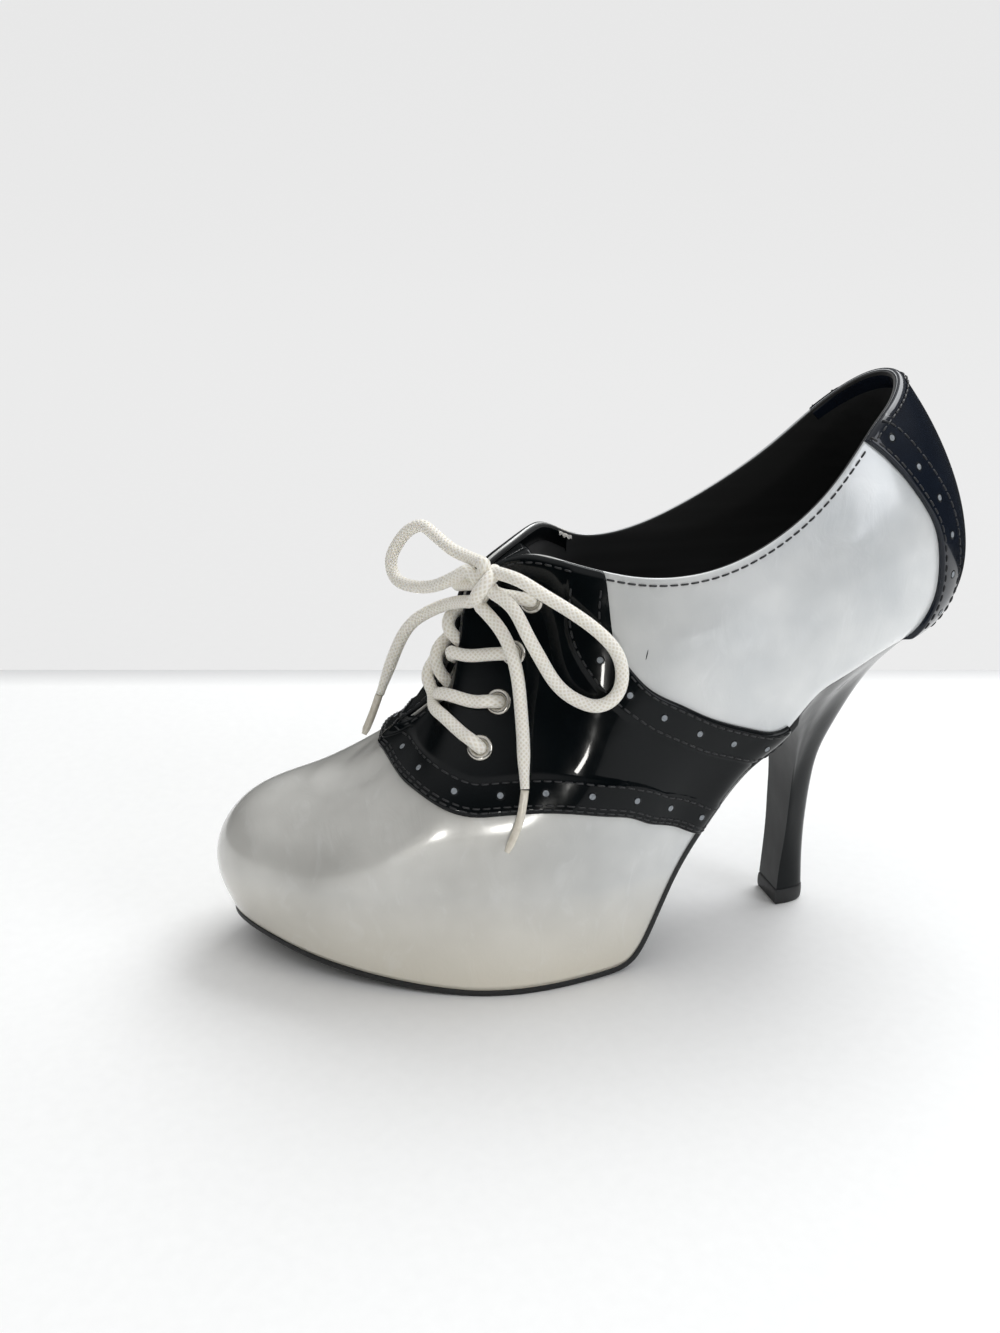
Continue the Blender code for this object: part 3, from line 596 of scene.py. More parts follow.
def inset(rows, distance, steps=4):
    """A line moved sideways over the skin: up from a line that runs forward on the outer side."""
    rows = np.array(rows, float)
    for _ in range(steps):
        station, rise = rows[:, 0], np.clip(rows[:, 1], 0.01, 0.99)
        along = (shell(station + 0.02, rise) - shell(station - 0.02, rise)) / 0.04
        up = (shell(station, rise + 0.01) - shell(station, rise - 0.01)) / 0.02
        ahead = unit(np.gradient(shell(station, rise), axis=0))
        side = np.cross(ahead, shell_normal(station, rise)) * distance / steps
        a, b, c = (along ** 2).sum(-1), (along * up).sum(-1), (up ** 2).sum(-1)
        d, e = (along * side).sum(-1), (up * side).sum(-1)
        rows = rows + np.stack([d * c - e * b, e * a - d * b], 1) / (a * c - b * b)[:, None]
        rows[:, 1] = np.clip(rows[:, 1], 0, 1)
    return rows


def mirrored(rows):
    """The same line on the other side of the shoe."""
    rows = np.array(rows, float)
    rows[:, 0] = STATIONS - rows[:, 0]
    return rows


# The skin

# Soft troughs and ridges of worn, stretched leather: where each lies, how far it
# reaches along and up the shoe, how it slants, and how deep it is in millimetres.
CREASES = (
    # station, rise, reach in stations, reach in rises, slant, depth
    (4.60, 0.62, 0.55, 0.050, 0.10, -0.35),
    (3.60, 0.45, 0.40, 0.070, -0.06, -0.40),
    (2.90, 0.70, 0.35, 0.060, 0.08, 0.30),
    (5.40, 0.80, 0.40, 0.040, 0.05, 0.30),
    (3.10, 0.25, 0.50, 0.050, 0.05, 0.35),
    (9.60, 0.48, 0.50, 0.040, -0.10, -0.30),
    (11.40, 0.72, 0.50, 0.035, 0.02, -0.45),
    (12.70, 0.74, 0.50, 0.035, -0.04, -0.45),
    (12.00, 0.66, 0.60, 0.030, 0.00, 0.35),
    (19.60, 0.60, 0.50, 0.060, -0.08, -0.40),
    (21.00, 0.45, 0.40, 0.070, 0.06, -0.35),
    (18.60, 0.75, 0.40, 0.050, 0.05, 0.30),
)


def relief(station, rise):
    """How far the creases push the skin out, in metres."""
    out = np.zeros(np.broadcast(station, rise).shape)
    for at, up, along, across, slant, depth in CREASES:
        past = station - at
        out = out + depth * MM * np.exp(-(past / along) ** 2
                                        - ((rise - up - slant * past) / across) ** 2)
    return out


def skin(station, rise, out=0.0):
    """A place on the creased skin, or out from it."""
    station, rise = np.broadcast_arrays(np.asarray(station, float), np.asarray(rise, float))
    return offset(station, rise, np.broadcast_to(out, station.shape) + relief(station, rise))


def rib_length(station):
    """How long the skin is from the feather line to the top edge."""
    rise = np.linspace(0, 1, 41)
    points = shell(np.asarray(station, float)[:, None], rise[None, :])
    return np.linalg.norm(np.diff(points, axis=1), axis=-1).sum(1)


SKIN_COLUMNS = 440
SKIN_ROWS = 84
HIDDEN_ROWS = 14
ROLL_STEPS = 9
UPPER_LEATHER = 1.05 * MM    # the pearl leather, with the lining behind it
FACE_HEIGHT = 1.25 * MM      # black leather above the pearl leather
FACE_SINK = 0.15 * MM        # how far its back is sunk, so that no light shows under it
ROLL_DEPTH = 4.0 * MM        # how far a folded edge goes down inside
FOLD_GROOVE = 0.38 * MM      # the line between the folded leather and the lining
GROOVE_TURN = 1.75           # where on the roll it lies, and how wide it is, in radians
GROOVE_WIDTH = 0.16
EDGE_RADIUS = 0.7 * MM       # of the black leather's cut edges
ROLL_RADIUS = (FACE_HEIGHT + WALL + 0.1 * MM) / 2
BAND_SLOPE = 0.7 * MM        # over which a second layer's edge rises


def groove(turn):
    """How deep the line between leather and lining is, round the roll of a folded edge."""
    return FOLD_GROOVE * np.exp(-((turn - GROOVE_TURN) / GROOVE_WIDTH) ** 2)


def step_up(points, line, width, lift):
    """How much higher a second layer makes the places that lie within a width of a line."""
    away = np.linalg.norm(points[:, :, None] - line[None, None], axis=-1).min(-1)
    return lift * smoothstep((width - away) / BAND_SLOPE + 0.5)


def wall(name, outer_at, inner_at, finish, replaces=()):
    """One layer of the upper, all the way round: its face, its round top edge and its back."""
    station = np.linspace(0, STATIONS, SKIN_COLUMNS, endpoint=False)
    length = rib_length(station)[:, None]
    radius = (outer_at - inner_at) / 2
    turn = np.linspace(0, math.pi, ROLL_STEPS)[None, :]
    face = np.linspace(0, 1, SKIN_ROWS)[None, :] * (1 - radius / length)
    over = 1 - radius * (1 - np.sin(turn)) / length
    back = np.linspace(1, 0, HIDDEN_ROWS if inner_at > -WALL else SKIN_ROWS // 2)[None, :]
    back = back * (1 - radius / length)
    rise = np.concatenate([face, over[:, 1:-1], back], 1)
    middle = (outer_at + inner_at) / 2
    out = np.concatenate([np.full(face.shape[1], outer_at),
                          (middle + radius * np.cos(turn))[0, 1:-1],
                          np.full(back.shape[1], inner_at)])
    points = skin(station[:, None], rise, out[None, :])
    build = Build()
    build.grid(points, closed_rows=True, closed_columns=True)
    return build.make(name, [finish], replaces)


def panel(name, cuts, folded, finish, replaces, rows, bands):
    """A leather overlay across cuts of the skin: low station, low rise, high station, high rise.

    folded says, for each cut, how far its high edge is folded over the top edge of the upper, and
    each band is a line with a width in which a second layer makes the panel thicker.
    """
    low, high = cuts[:, None, :2], cuts[:, None, 2:4]
    roll_middle = FACE_HEIGHT - ROLL_RADIUS
    fold = folded[:, None]
    ends = shell(cuts[:, 2], cuts[:, 3]) - shell(cuts[:, 0], cuts[:, 1])
    width = np.linalg.norm(ends, axis=1)[:, None]
    reach = (EDGE_RADIUS * (1 - fold) + ROLL_RADIUS * fold) / width
    near = EDGE_RADIUS / width
    share = near + np.linspace(0, 1, rows)[None, :] * (1 - reach - near)
    station = low[..., 0] * (1 - share) + high[..., 0] * share
    rise = low[..., 1] * (1 - share) + high[..., 1] * share
    base = shell(station, rise)
    height = np.full(station.shape, FACE_HEIGHT)
    for line, band, lift in bands:
        height = height + step_up(base, line, band, lift)
    face = skin(station, rise, height)

    def profile(edge_station, edge_rise, inside, steps, roll):
        """Points round one edge, which starts where the face ends."""
        edge = skin(edge_station, edge_rise, 0)
        normal = shell_normal(edge_station, edge_rise)
        beyond = unit(edge - inside)
        beyond = unit(beyond - normal * (beyond * normal).sum(-1, keepdims=True))
        turn = np.linspace(0, math.pi / 2, steps)[1:]
        plain = [(EDGE_RADIUS * (math.sin(t) - 1),
                  FACE_HEIGHT - EDGE_RADIUS + EDGE_RADIUS * math.cos(t)) for t in turn]
        plain += [(0, -FACE_SINK)]
        points = [edge + beyond * a + normal * b for a, b in plain]
        if roll is None:
            return np.stack(points, 1)
        full = np.linspace(0, math.pi, len(plain) + 8)[1:]
        plain = plain + [(-(k + 1) * 0.5 * MM, -FACE_SINK) for k in range(len(full) - len(plain))]
        rolled = []
        for t, (a, b) in zip(full, plain):
            far = ROLL_RADIUS - groove(t)
            c, d = far * math.sin(t) - ROLL_RADIUS, roll_middle + far * math.cos(t)
            rolled.append(edge + beyond * (a * (1 - roll) + c * roll)
                          + normal * (b * (1 - roll) + d * roll))
        a, d = -ROLL_RADIUS - ROLL_DEPTH, roll_middle - ROLL_RADIUS
        rolled.append(edge + beyond * (-6 * MM * (1 - roll) + a * roll)
                      + normal * (-FACE_SINK * (1 - roll) + d * roll))
        return np.stack(rolled, 1)

    top = profile(cuts[:, 2], cuts[:, 3], skin(station[:, -6], rise[:, -6], 0), 5, fold)
    foot = profile(cuts[:, 0], cuts[:, 1], skin(station[:, 5], rise[:, 5], 0), 5, None)
    hidden = np.linspace(0.9, 0.08, 12)[None, :]
    hidden_station = low[..., 0] * (1 - hidden) + high[..., 0] * hidden
    hidden_rise = low[..., 1] * (1 - hidden) + high[..., 1] * hidden
    back = skin(hidden_station, hidden_rise, -FACE_SINK)
    loop = np.concatenate([face, top, back, foot[:, ::-1]], 1)
    first = np.repeat(loop[:1].mean(1, keepdims=True), loop.shape[1], 1)
    last = np.repeat(loop[-1:].mean(1, keepdims=True), loop.shape[1], 1)
    build = Build()
    build.grid(np.concatenate([first, loop, last]), closed_columns=True)
    return build.make(name, [finish], replaces)


# Materials

def linear(hex_colour):
    """An sRGB hex colour as the linear colour that a shader takes."""
    parts = [int(hex_colour[i:i + 2], 16) / 255 for i in (1, 3, 5)]
    return (*(p / 12.92 if p <= 0.04045 else ((p + 0.055) / 1.055) ** 2.4 for p in parts), 1.0)


def output(source):
    """A socket, or a node's first output."""
    return source.outputs[0] if isinstance(source, bpy.types.Node) else source


def node(made, kind, settings=None, **links):
    """Adds a node. settings are its own properties or its sockets' values, by name or number, and
    links feed its sockets, with _ for a blank in a socket's name."""
    added = made.node_tree.nodes.new("ShaderNode" + kind)
    for name, value in (settings or {}).items():
        if isinstance(name, str) and hasattr(added, name):
            setattr(added, name, value)
        else:
            added.inputs[name].default_value = value
    for name, source in links.items():
        socket = int(name[1:]) if name[1:].isdigit() else name.replace("_", " ")
        made.node_tree.links.new(output(source), added.inputs[socket])
    return added


def finish_of(name, settings):
    """A material with one Principled surface, whose values that are the same all over are set."""
    made = bpy.data.materials.new(name)
    made.use_nodes = True
    shader = made.node_tree.nodes["Principled BSDF"]
    for socket, value in settings.items():
        shader.inputs[socket].default_value = value
    return made, shader


def feed(made, shader, socket, source):
    made.node_tree.links.new(output(source), shader.inputs[socket])


PER_METRE = 1000.0    # a pattern scale for a wave of one millimetre, in object coordinates


def pearl_leather():
    """Patent leather: hide under a clear lacquer with mica in it. It gives the eye an off-white
    with a silky depth, broad soft highlights, and faint crinkles where the lacquer has creased."""
    made, shader = finish_of("pearl_patent_leather", {
        "Roughness": 0.34, "IOR": 1.50, "Coat Weight": 0.85, "Coat Roughness": 0.13,
        "Coat IOR": 1.5, "Metallic": 0.12, "Specular IOR Level": 0.55})
    place = node(made, "TexCoord")
    cloud = node(made, "TexNoise", {"Scale": PER_METRE / 38, "Detail": 3.0,
                                              "Roughness": 0.55}, Vector=place.outputs["Object"])
    mist = node(made, "MapRange", {"From Min": 0.35, "From Max": 0.68},
                Value=cloud)
    split = node(made, "SeparateXYZ", Vector=place.outputs["Object"])
    # Paler and bluer towards the heel, darker and warmer towards the toe: partly the pearl's own tint,
    # partly painted light on the quarter and painted shade on the vamp.
    rear = node(made, "MapRange", {"From Min": -0.115, "From Max": -0.035},
                Value=split.outputs["Y"])
    vamp = node(made, "Mix", {"data_type": "RGBA", 6: linear("#b7b6b1"),
                                        7: linear("#d2d1cc")}, i0=mist)
    quarter = node(made, "Mix", {"data_type": "RGBA", 6: linear("#c6cacc"),
                                           7: linear("#e2e4e4")}, i0=mist)
    shade = node(made, "Mix", {"data_type": "RGBA"}, i0=rear,
                 i6=vamp.outputs[2], i7=quarter.outputs[2])
    # Cream over the lowest 34 mm of the upper: painted bounce light from the white floor.
    low = node(made, "MapRange", {"From Min": 0.034, "From Max": 0.004},
               Value=split.outputs["Z"])
    floor_bounce_paint = node(made, "Mix", {"data_type": "RGBA", 7: linear("#e2dccd")},
                i0=low, i6=shade.outputs[2])
    rub = node(made, "TexNoise", {"Scale": PER_METRE / 9, "Detail": 4.0},
               Vector=place.outputs["Object"])
    dull = node(made, "MapRange", {"To Min": 0.27, "To Max": 0.42},
                Value=rub)
    feed(made, shader, "Roughness", dull)
    # Crinkles a few millimetres long, where stretched lacquer has crazed
    bent = node(made, "Mapping", {"Scale": (1.0, 1.6, 1.0), "Rotation": (0.4, 0.2, 0.5)},
                Vector=place.outputs["Object"])
    crinkle = node(made, "TexNoise", {"Scale": PER_METRE / 13, "Detail": 6.0,
                                                "Roughness": 0.62, "Distortion": 1.2},
                   Vector=bent)
    crazed = node(made, "MapRange", {"From Min": 0.55, "From Max": 0.72, "To Max": 0.12},
                  Value=crinkle)
    pale = node(made, "Mix", {"data_type": "RGBA", 7: linear("#f7f9fa")},
                i0=crazed, i6=floor_bounce_paint.outputs[2])
    feed(made, shader, "Base Color", pale.outputs[2])
    grain = node(made, "TexVoronoi", {"Scale": PER_METRE / 0.9},
                 Vector=place.outputs["Object"])
    soft = node(made, "Bump", {"Strength": 0.18, "Distance": 0.9 * MM},
                Height=crinkle)
    fine = node(made, "Bump", {"Strength": 0.035, "Distance": 0.1 * MM},
                Height=grain, Normal=soft)
    feed(made, shader, "Normal", fine)
    return made


def black_patent_leather(name, dark, pale, coat):
    """Black patent leather: near black under a thick clear lacquer, with wavy sharp reflections."""
    made, shader = finish_of(name, {
        "Roughness": 0.16, "IOR": 1.50, "Coat Weight": coat, "Coat Roughness": 0.04,
        "Coat IOR": 1.50, "Specular IOR Level": 0.07})
    place = node(made, "TexCoord")
    cloud = node(made, "TexNoise", {"Scale": PER_METRE / 22, "Detail": 2.0},
                 Vector=place.outputs["Object"])
    shade = node(made, "Mix", {"data_type": "RGBA", 6: linear(dark),
                                         7: linear(pale)}, i0=cloud)
    feed(made, shader, "Base Color", shade.outputs[2])
    rub = node(made, "TexNoise", {"Scale": PER_METRE / 6, "Detail": 5.0},
               Vector=place.outputs["Object"])
    dull = node(made, "MapRange", {"To Min": 0.10, "To Max": 0.24},
                Value=rub)
    feed(made, shader, "Roughness", dull)
    wave = node(made, "TexNoise", {"Scale": PER_METRE / 11, "Detail": 1.5},
                Vector=place.outputs["Object"])
    peel = node(made, "TexNoise", {"Scale": PER_METRE / 1.6, "Detail": 2.0},
                Vector=place.outputs["Object"])
    soft = node(made, "Bump", {"Strength": 0.30, "Distance": 1.0 * MM},
                Height=wave)
    fine = node(made, "Bump", {"Strength": 0.05, "Distance": 0.2 * MM},
                Height=peel, Normal=soft)
    feed(made, shader, "Normal", fine)
    return made


def woven_lining():
    """Black woven lining cloth: matt. Its threads are too fine to show, so they are drawn about
    6 mm apart."""
    made, shader = finish_of("black_woven_lining", {
        "Roughness": 0.82, "IOR": 1.5, "Sheen Weight": 0.25, "Sheen Roughness": 0.5})
    place = node(made, "TexCoord")
    warp = node(made, "TexWave", {"Scale": PER_METRE / 20, "Distortion": 0.4},
                Vector=place.outputs["Object"])
    weft = node(made, "TexWave", {"Scale": PER_METRE / 20, "bands_direction": "Z",
                                            "Distortion": 0.4}, Vector=place.outputs["Object"])
    weave = node(made, "Math", {"operation": "MAXIMUM"}, i0=warp.outputs["Fac"],
                 i1=weft.outputs["Fac"])
    shade = node(made, "Mix", {"data_type": "RGBA", 6: linear("#08090a"),
                                         7: linear("#131415")}, i0=weave)
    feed(made, shader, "Base Color", shade.outputs[2])
    fine = node(made, "Bump", {"Strength": 0.25, "Distance": 0.2 * MM},
                Height=weave)
    feed(made, shader, "Normal", fine)
    return made


def moulded_rubber():
    """Moulded black rubber of the outsole and the heel tip: dark grey-black, satin, finely pitted."""
    made, shader = finish_of("black_moulded_rubber", {"IOR": 1.52, "Specular IOR Level": 0.45})
    place = node(made, "TexCoord")
    pit = node(made, "TexNoise", {"Scale": PER_METRE / 1.2, "Detail": 3.0},
               Vector=place.outputs["Object"])
    shade = node(made, "Mix", {"data_type": "RGBA", 6: linear("#0b0c0d"),
                                         7: linear("#191a1b")}, i0=pit)
    feed(made, shader, "Base Color", shade.outputs[2])
    dull = node(made, "MapRange", {"To Min": 0.38, "To Max": 0.60},
                Value=pit)
    feed(made, shader, "Roughness", dull)
    fine = node(made, "Bump", {"Strength": 0.12, "Distance": 0.2 * MM},
                Height=pit)
    feed(made, shader, "Normal", fine)
    return made


def nickel_plate():
    """Nickel-plated brass eyelets: bright metal, with fine rub marks from the lace."""
    made, shader = finish_of("nickel_plated_brass", {"Metallic": 1.0})
    place = node(made, "TexCoord")
    rub = node(made, "TexNoise", {"Scale": PER_METRE / 0.7, "Detail": 4.0},
               Vector=place.outputs["Object"])
    shade = node(made, "Mix", {"data_type": "RGBA", 6: linear("#aaa69d"),
                                         7: linear("#dcd9d2")}, i0=rub)
    feed(made, shader, "Base Color", shade.outputs[2])
    dull = node(made, "MapRange", {"To Min": 0.12, "To Max": 0.34},
                Value=rub)
    feed(made, shader, "Roughness", dull)
    fine = node(made, "Bump", {"Strength": 0.06, "Distance": 0.1 * MM},
                Height=rub)
    feed(made, shader, "Normal", fine)
    return made


PLAITS = 8                # yarns of each slant side by side round the lace
PLAIT_LENGTH = 1.6 * MM   # along the lace, from one yarn's crossing to its next


def braided_cotton():
    """Round braided lace: soft off-white yarns that cross in a herringbone, matt with a haze."""
    made, shader = finish_of("braided_cotton_lace", {
        "Roughness": 0.86, "IOR": 1.5, "Sheen Weight": 0.35, "Sheen Roughness": 0.45,
        "Subsurface Weight": 0.12, "Subsurface Radius": (0.8 * MM, 0.7 * MM, 0.5 * MM),
        "Subsurface Scale": 1.0})
    place = node(made, "UVMap", {"uv_map": "weave"})
    split = node(made, "SeparateXYZ", Vector=place.outputs["UV"])
    around = node(made, "Math", {"operation": "MULTIPLY", 1: 2 * math.pi * PLAITS},
                  i0=split.outputs["X"])
    along = node(made, "Math", {"operation": "MULTIPLY",
                                          1: 2 * math.pi / PLAIT_LENGTH}, i0=split.outputs["Y"])
    left = node(made, "Math", {"operation": "ADD"}, i0=around,
                i1=along)
    right = node(made, "Math", {"operation": "SUBTRACT"}, i0=around,
                 i1=along)
    yarns = [node(made, "Math", {"operation": "SINE"}, i0=way)
             for way in (left, right)]
    braid = node(made, "Math", {"operation": "MAXIMUM"}, i0=yarns[0].outputs["Value"],
                 i1=yarns[1].outputs["Value"])
    height = node(made, "MapRange", {"From Min": -0.6, "From Max": 1.0},
                  Value=braid)
    shade = node(made, "Mix", {"data_type": "RGBA", 6: linear("#e9e2d2"),
                                         7: linear("#fcf9f1")}, i0=height)
    feed(made, shader, "Base Color", shade.outputs[2])
    fuzz = node(made, "TexNoise", {"Scale": PER_METRE / 0.5, "Detail": 3.0},
                Vector=node(made, "TexCoord").outputs["Object"])
    plait = node(made, "Bump", {"Strength": 0.55, "Distance": 0.25 * MM},
                 Height=height)
    hair = node(made, "Bump", {"Strength": 0.2, "Distance": 0.1 * MM},
                Height=fuzz, Normal=plait)
    feed(made, shader, "Normal", hair)
    return made


def acetate_film():
    """Clear acetate film shrunk on the lace's tip: glossy, with the yarn showing through."""
    made, shader = finish_of("acetate_film_tip", {"IOR": 1.48, "Roughness": 0.22,
                                                  "Coat Weight": 0.8, "Coat Roughness": 0.08})
    place = node(made, "TexCoord")
    yarn = node(made, "TexNoise", {"Scale": PER_METRE / 1.5, "Detail": 2.0},
                Vector=place.outputs["Object"])
    shade = node(made, "Mix", {"data_type": "RGBA", 6: linear("#c9c0ae"),
                                         7: linear("#efeadd")},
                 i0=yarn)
    feed(made, shader, "Base Color", shade.outputs[2])
    fine = node(made, "Bump", {"Strength": 0.15, "Distance": 0.1 * MM},
                Height=yarn)
    feed(made, shader, "Normal", fine)
    return made


def waxed_thread():
    """Black waxed sewing thread: near black, with a small glint on each stitch."""
    made, shader = finish_of("black_waxed_thread", {"IOR": 1.5, "Roughness": 0.42,
                                                    "Specular IOR Level": 0.6})
    place = node(made, "TexCoord")
    ply = node(made, "TexNoise", {"Scale": PER_METRE / 0.4, "Detail": 1.0},
               Vector=place.outputs["Object"])
    shade = node(made, "Mix", {"data_type": "RGBA", 6: linear("#060709"),
                                         7: linear("#1a1c20")}, i0=ply)
    feed(made, shader, "Base Color", shade.outputs[2])
    fine = node(made, "Bump", {"Strength": 0.3, "Distance": 0.1 * MM},
                Height=ply)
    feed(made, shader, "Normal", fine)
    return made


def backing_in_holes():
    """The pale fibrous backing of the leather, as it shows at the bottom of each punched hole."""
    made, shader = finish_of("leather_backing_in_holes", {"Roughness": 0.8, "IOR": 1.45})
    place = node(made, "TexCoord")
    fibre = node(made, "TexNoise", {"Scale": PER_METRE / 0.6, "Detail": 4.0},
                 Vector=place.outputs["Object"])
    shade = node(made, "Mix", {"data_type": "RGBA", 6: linear("#3c4145"),
                                         7: linear("#b4bac0")}, i0=fibre)
    feed(made, shader, "Base Color", shade.outputs[2])
    return made


def studio_paper():
    """Matt white paper under the shoe: bright and even, and grey where it ends."""
    made, shader = finish_of("white_studio_paper", {"Roughness": 0.9, "IOR": 1.4,
                                                    "Specular IOR Level": 0.2})
    place = node(made, "TexCoord")
    fibre = node(made, "TexNoise", {"Scale": PER_METRE / 4, "Detail": 3.0},
                 Vector=place.outputs["Object"])
    shade = node(made, "Mix", {"data_type": "RGBA", 6: linear("#f1f1f0"),
                                         7: linear("#f6f6f5")}, i0=fibre)
    behind = node(made, "VectorMath", {"operation": "DOT_PRODUCT", 1: AWAY},
                  i0=place.outputs["Object"])
    end = node(made, "MapRange", {"From Min": PAPER_END - PAPER_FADE,
                                            "From Max": PAPER_END},
               Value=behind.outputs["Value"])
    faded = node(made, "Mix", {"data_type": "RGBA", 7: linear("#cfcfcf")},
                 i0=end, i6=shade.outputs[2])
    feed(made, shader, "Base Color", faded.outputs[2])
    return made


PEARL = pearl_leather()
PATENT = black_patent_leather("black_patent_leather", "#040708", "#0b1013", 0.26)
# The counter is the saddle's black patent with a bluer, lighter base colour, which is a painted blue
# sheen, and a heavier coat.
COUNTER_PATENT_PAINTED_SHEEN = black_patent_leather("black_patent_with_painted_blue_sheen", "#0b0f16", "#1a212d", 0.60)
LINING = woven_lining()
RUBBER = moulded_rubber()
NICKEL = nickel_plate()
COTTON = braided_cotton()
FILM = acetate_film()
THREAD = waxed_thread()
BACKING = backing_in_holes()


# The upper

def fine_cuts(table, count):
    """Cuts across a panel on both sides of the shoe, evenly spread along its middle."""
    rows = np.array(table)
    inner_side = rows[-2::-1].copy()
    inner_side[:, [0, 2]] = STATIONS - inner_side[:, [0, 2]]
    rows = np.concatenate([rows, inner_side])
    fine = spline(range(len(rows)), rows, np.linspace(0, len(rows) - 1, 40 * len(rows)))
    fine[:, [1, 3]] = np.clip(fine[:, [1, 3]], 0, 1)
    points = skin((fine[:, 0] + fine[:, 2]) / 2, (fine[:, 1] + fine[:, 3]) / 2)
    run = np.append(0, np.cumsum(np.linalg.norm(np.diff(points, axis=0), axis=1)))
    at = np.linspace(0, run[-1], count)
    return np.stack([np.interp(at, run, fine[:, k]) for k in range(4)], 1)


BAND_LIFT = 0.40 * MM
LOW_BAND = 10.5 * MM
REAR_BAND = 10.5 * MM
COUNTER_BAND = 11.0 * MM
COUNTER_FOOT = 0.05     # the rise below which the counter thins out over the seat
EDGE_STEP = 9    # cuts of the saddle between the points of a line along its edge


def both_sides(rows, step=2 * MM):
    """The places of a line on the outer side and of its mirror line on the inner side."""
    return np.concatenate([shell(*on_skin(rows, step)), shell(*on_skin(mirrored(rows), step))])


wall("upper", 0.0, -UPPER_LEATHER, PEARL, ["upper"])
wall("upper_lining", -UPPER_LEATHER + 0.1 * MM, -WALL, LINING)

saddle_cuts = fine_cuts(SADDLE, 430)
low_edge = saddle_cuts[saddle_cuts[:, 1] > 0.004, :2][::EDGE_STEP]
rear_edge = saddle_cuts[(saddle_cuts[:, 3] < 0.997) & (saddle_cuts[:, 2] < STATIONS / 2), 2:]
rear_edge = rear_edge[::EDGE_STEP]
beside_front = np.abs(saddle_cuts[:, 2] - STATIONS / 2)
folded = smoothstep((saddle_cuts[:, 3] - 0.93) / 0.07) * smoothstep((beside_front - 0.5) / 0.7)
panel("saddle", saddle_cuts, folded, PATENT,
      ["saddle"], 84,
      [(shell(*on_skin(low_edge, 2 * MM)), LOW_BAND, BAND_LIFT),
       (both_sides(rear_edge), REAR_BAND, BAND_LIFT)])


def make_counter():
    """The black counter, with its front edges rounded off and its top edge over the lining."""
    station_edge = spline(*columns(COUNTER), np.linspace(0, 1, 100))[:, 0]
    length = rib_length(np.linspace(-1.5, 1.5, 3)).mean()
    turn = np.linspace(0, math.pi, 14)
    rise = np.concatenate([np.linspace(0, 1 - ROLL_RADIUS / length, 90),
                           1 - ROLL_RADIUS * (1 - np.sin(turn[1:])) / length,
                           1 - (ROLL_RADIUS + np.linspace(0.2, 1, 4) * ROLL_DEPTH) / length])
    out = np.concatenate([np.full(90, FACE_HEIGHT),
                          (FACE_HEIGHT - ROLL_RADIUS + (ROLL_RADIUS - groove(turn)) * np.cos(turn))[1:],
                          np.full(4, FACE_HEIGHT - 2 * ROLL_RADIUS)])
    edge = np.interp(rise, np.linspace(0, 1, 100), station_edge)
    share = np.linspace(-1, 1, 150)
    share = np.sign(share) * (1 - (1 - np.abs(share)) ** 1.25)
    station = share[:, None] * edge[None, :]
    rise = np.broadcast_to(rise, station.shape)
    base = shell(station, rise)
    away = np.minimum(np.linalg.norm(base - base[:1], axis=-1),
                      np.linalg.norm(base - base[-1:], axis=-1))
    inward = np.clip(EDGE_RADIUS - away, 0, EDGE_RADIUS)
    soft = EDGE_RADIUS - np.sqrt(EDGE_RADIUS ** 2 - inward ** 2)
    line = both_sides([(s, r) for r, s in COUNTER])
    band = step_up(base, line, COUNTER_BAND, BAND_LIFT)
    height = out[None, :] + np.where(out > 0, band - soft, 0)
    height = height * smoothstep(rise / COUNTER_FOOT)
    face = skin(station, rise, height)
    sunk = skin(station, rise, np.minimum(height, -FACE_SINK))
    back = skin(station, np.minimum(rise, rise[:, ::-1]), -FACE_SINK)
    build = Build()
    build.grid(np.concatenate([sunk[:1], face, sunk[-1:]]))
    build.grid(back[::6, ::4][:, ::-1])
    return build.make("heel_counter", [COUNTER_PATENT_PAINTED_SHEEN], ["heel_counter"])


make_counter()


BAR_RISE = 0.935      # of the throat bar's sides
BAR_UNDER = 0.92      # and of the edges that go down under it


def make_throat_bar():
    """The smooth end of the throat, where the two facings are stitched over each other."""
    station = np.linspace(10.95, 12.0, 26)
    across = np.linspace(-1, 1, 21)[None, :, None]
    lift = (FACE_HEIGHT + 0.75 * MM) * smoothstep((station - 10.9) / 0.25)
    sides = (station, STATIONS - station)
    outer, inner = (skin(side, BAR_RISE, lift)[:, None] for side in sides)
    arch = (1 - across ** 2) * 0.12 * np.linalg.norm(outer - inner, axis=-1, keepdims=True)
    out = unit(sum(shell_normal(side, BAR_RISE) for side in sides))[:, None]
    top = (outer * (1 - across) + inner * (1 + across)) / 2 + arch * out
    under = [skin(side, BAR_UNDER, 0.2 * MM)[:, None] for side in sides]
    build = Build()
    build.grid(np.concatenate([under[0], top, under[1]], 1))
    return build.make("throat_bar", [PATENT])


TAPE_STATIONS = (17.12, 17.40)
TAPE_OUT = 0.45 * MM     # how far it stands off the folded edge
FRAY = 0.35 * MM         # how ragged its end is


def make_tape_end():
    """The frayed white end of the edge tape, where the inner facing meets the quarter."""
    station = np.linspace(*TAPE_STATIONS, 16)
    turn = np.linspace(0.3, math.pi, 16)[None, :]
    radius = (FACE_HEIGHT + WALL) / 2 + TAPE_OUT
    fray = FRAY * np.sin(station * 61)[:, None] * smoothstep((turn - 2.2) / 0.9)
    rise = 1 - (radius * (1 - np.sin(turn)) + fray) / rib_length(station)[:, None]
    points = skin(station[:, None], rise, (FACE_HEIGHT - WALL) / 2 + radius * np.cos(turn))
    build = Build()
    build.grid(points)
    return build.make("tape_end", [COTTON])


RUB_FROM = np.array([6.175, 0.797])    # station and rise of the mark's two ends
RUB_TO = np.array([6.120, 0.819])
RUB_WIDTH = 0.32 * MM


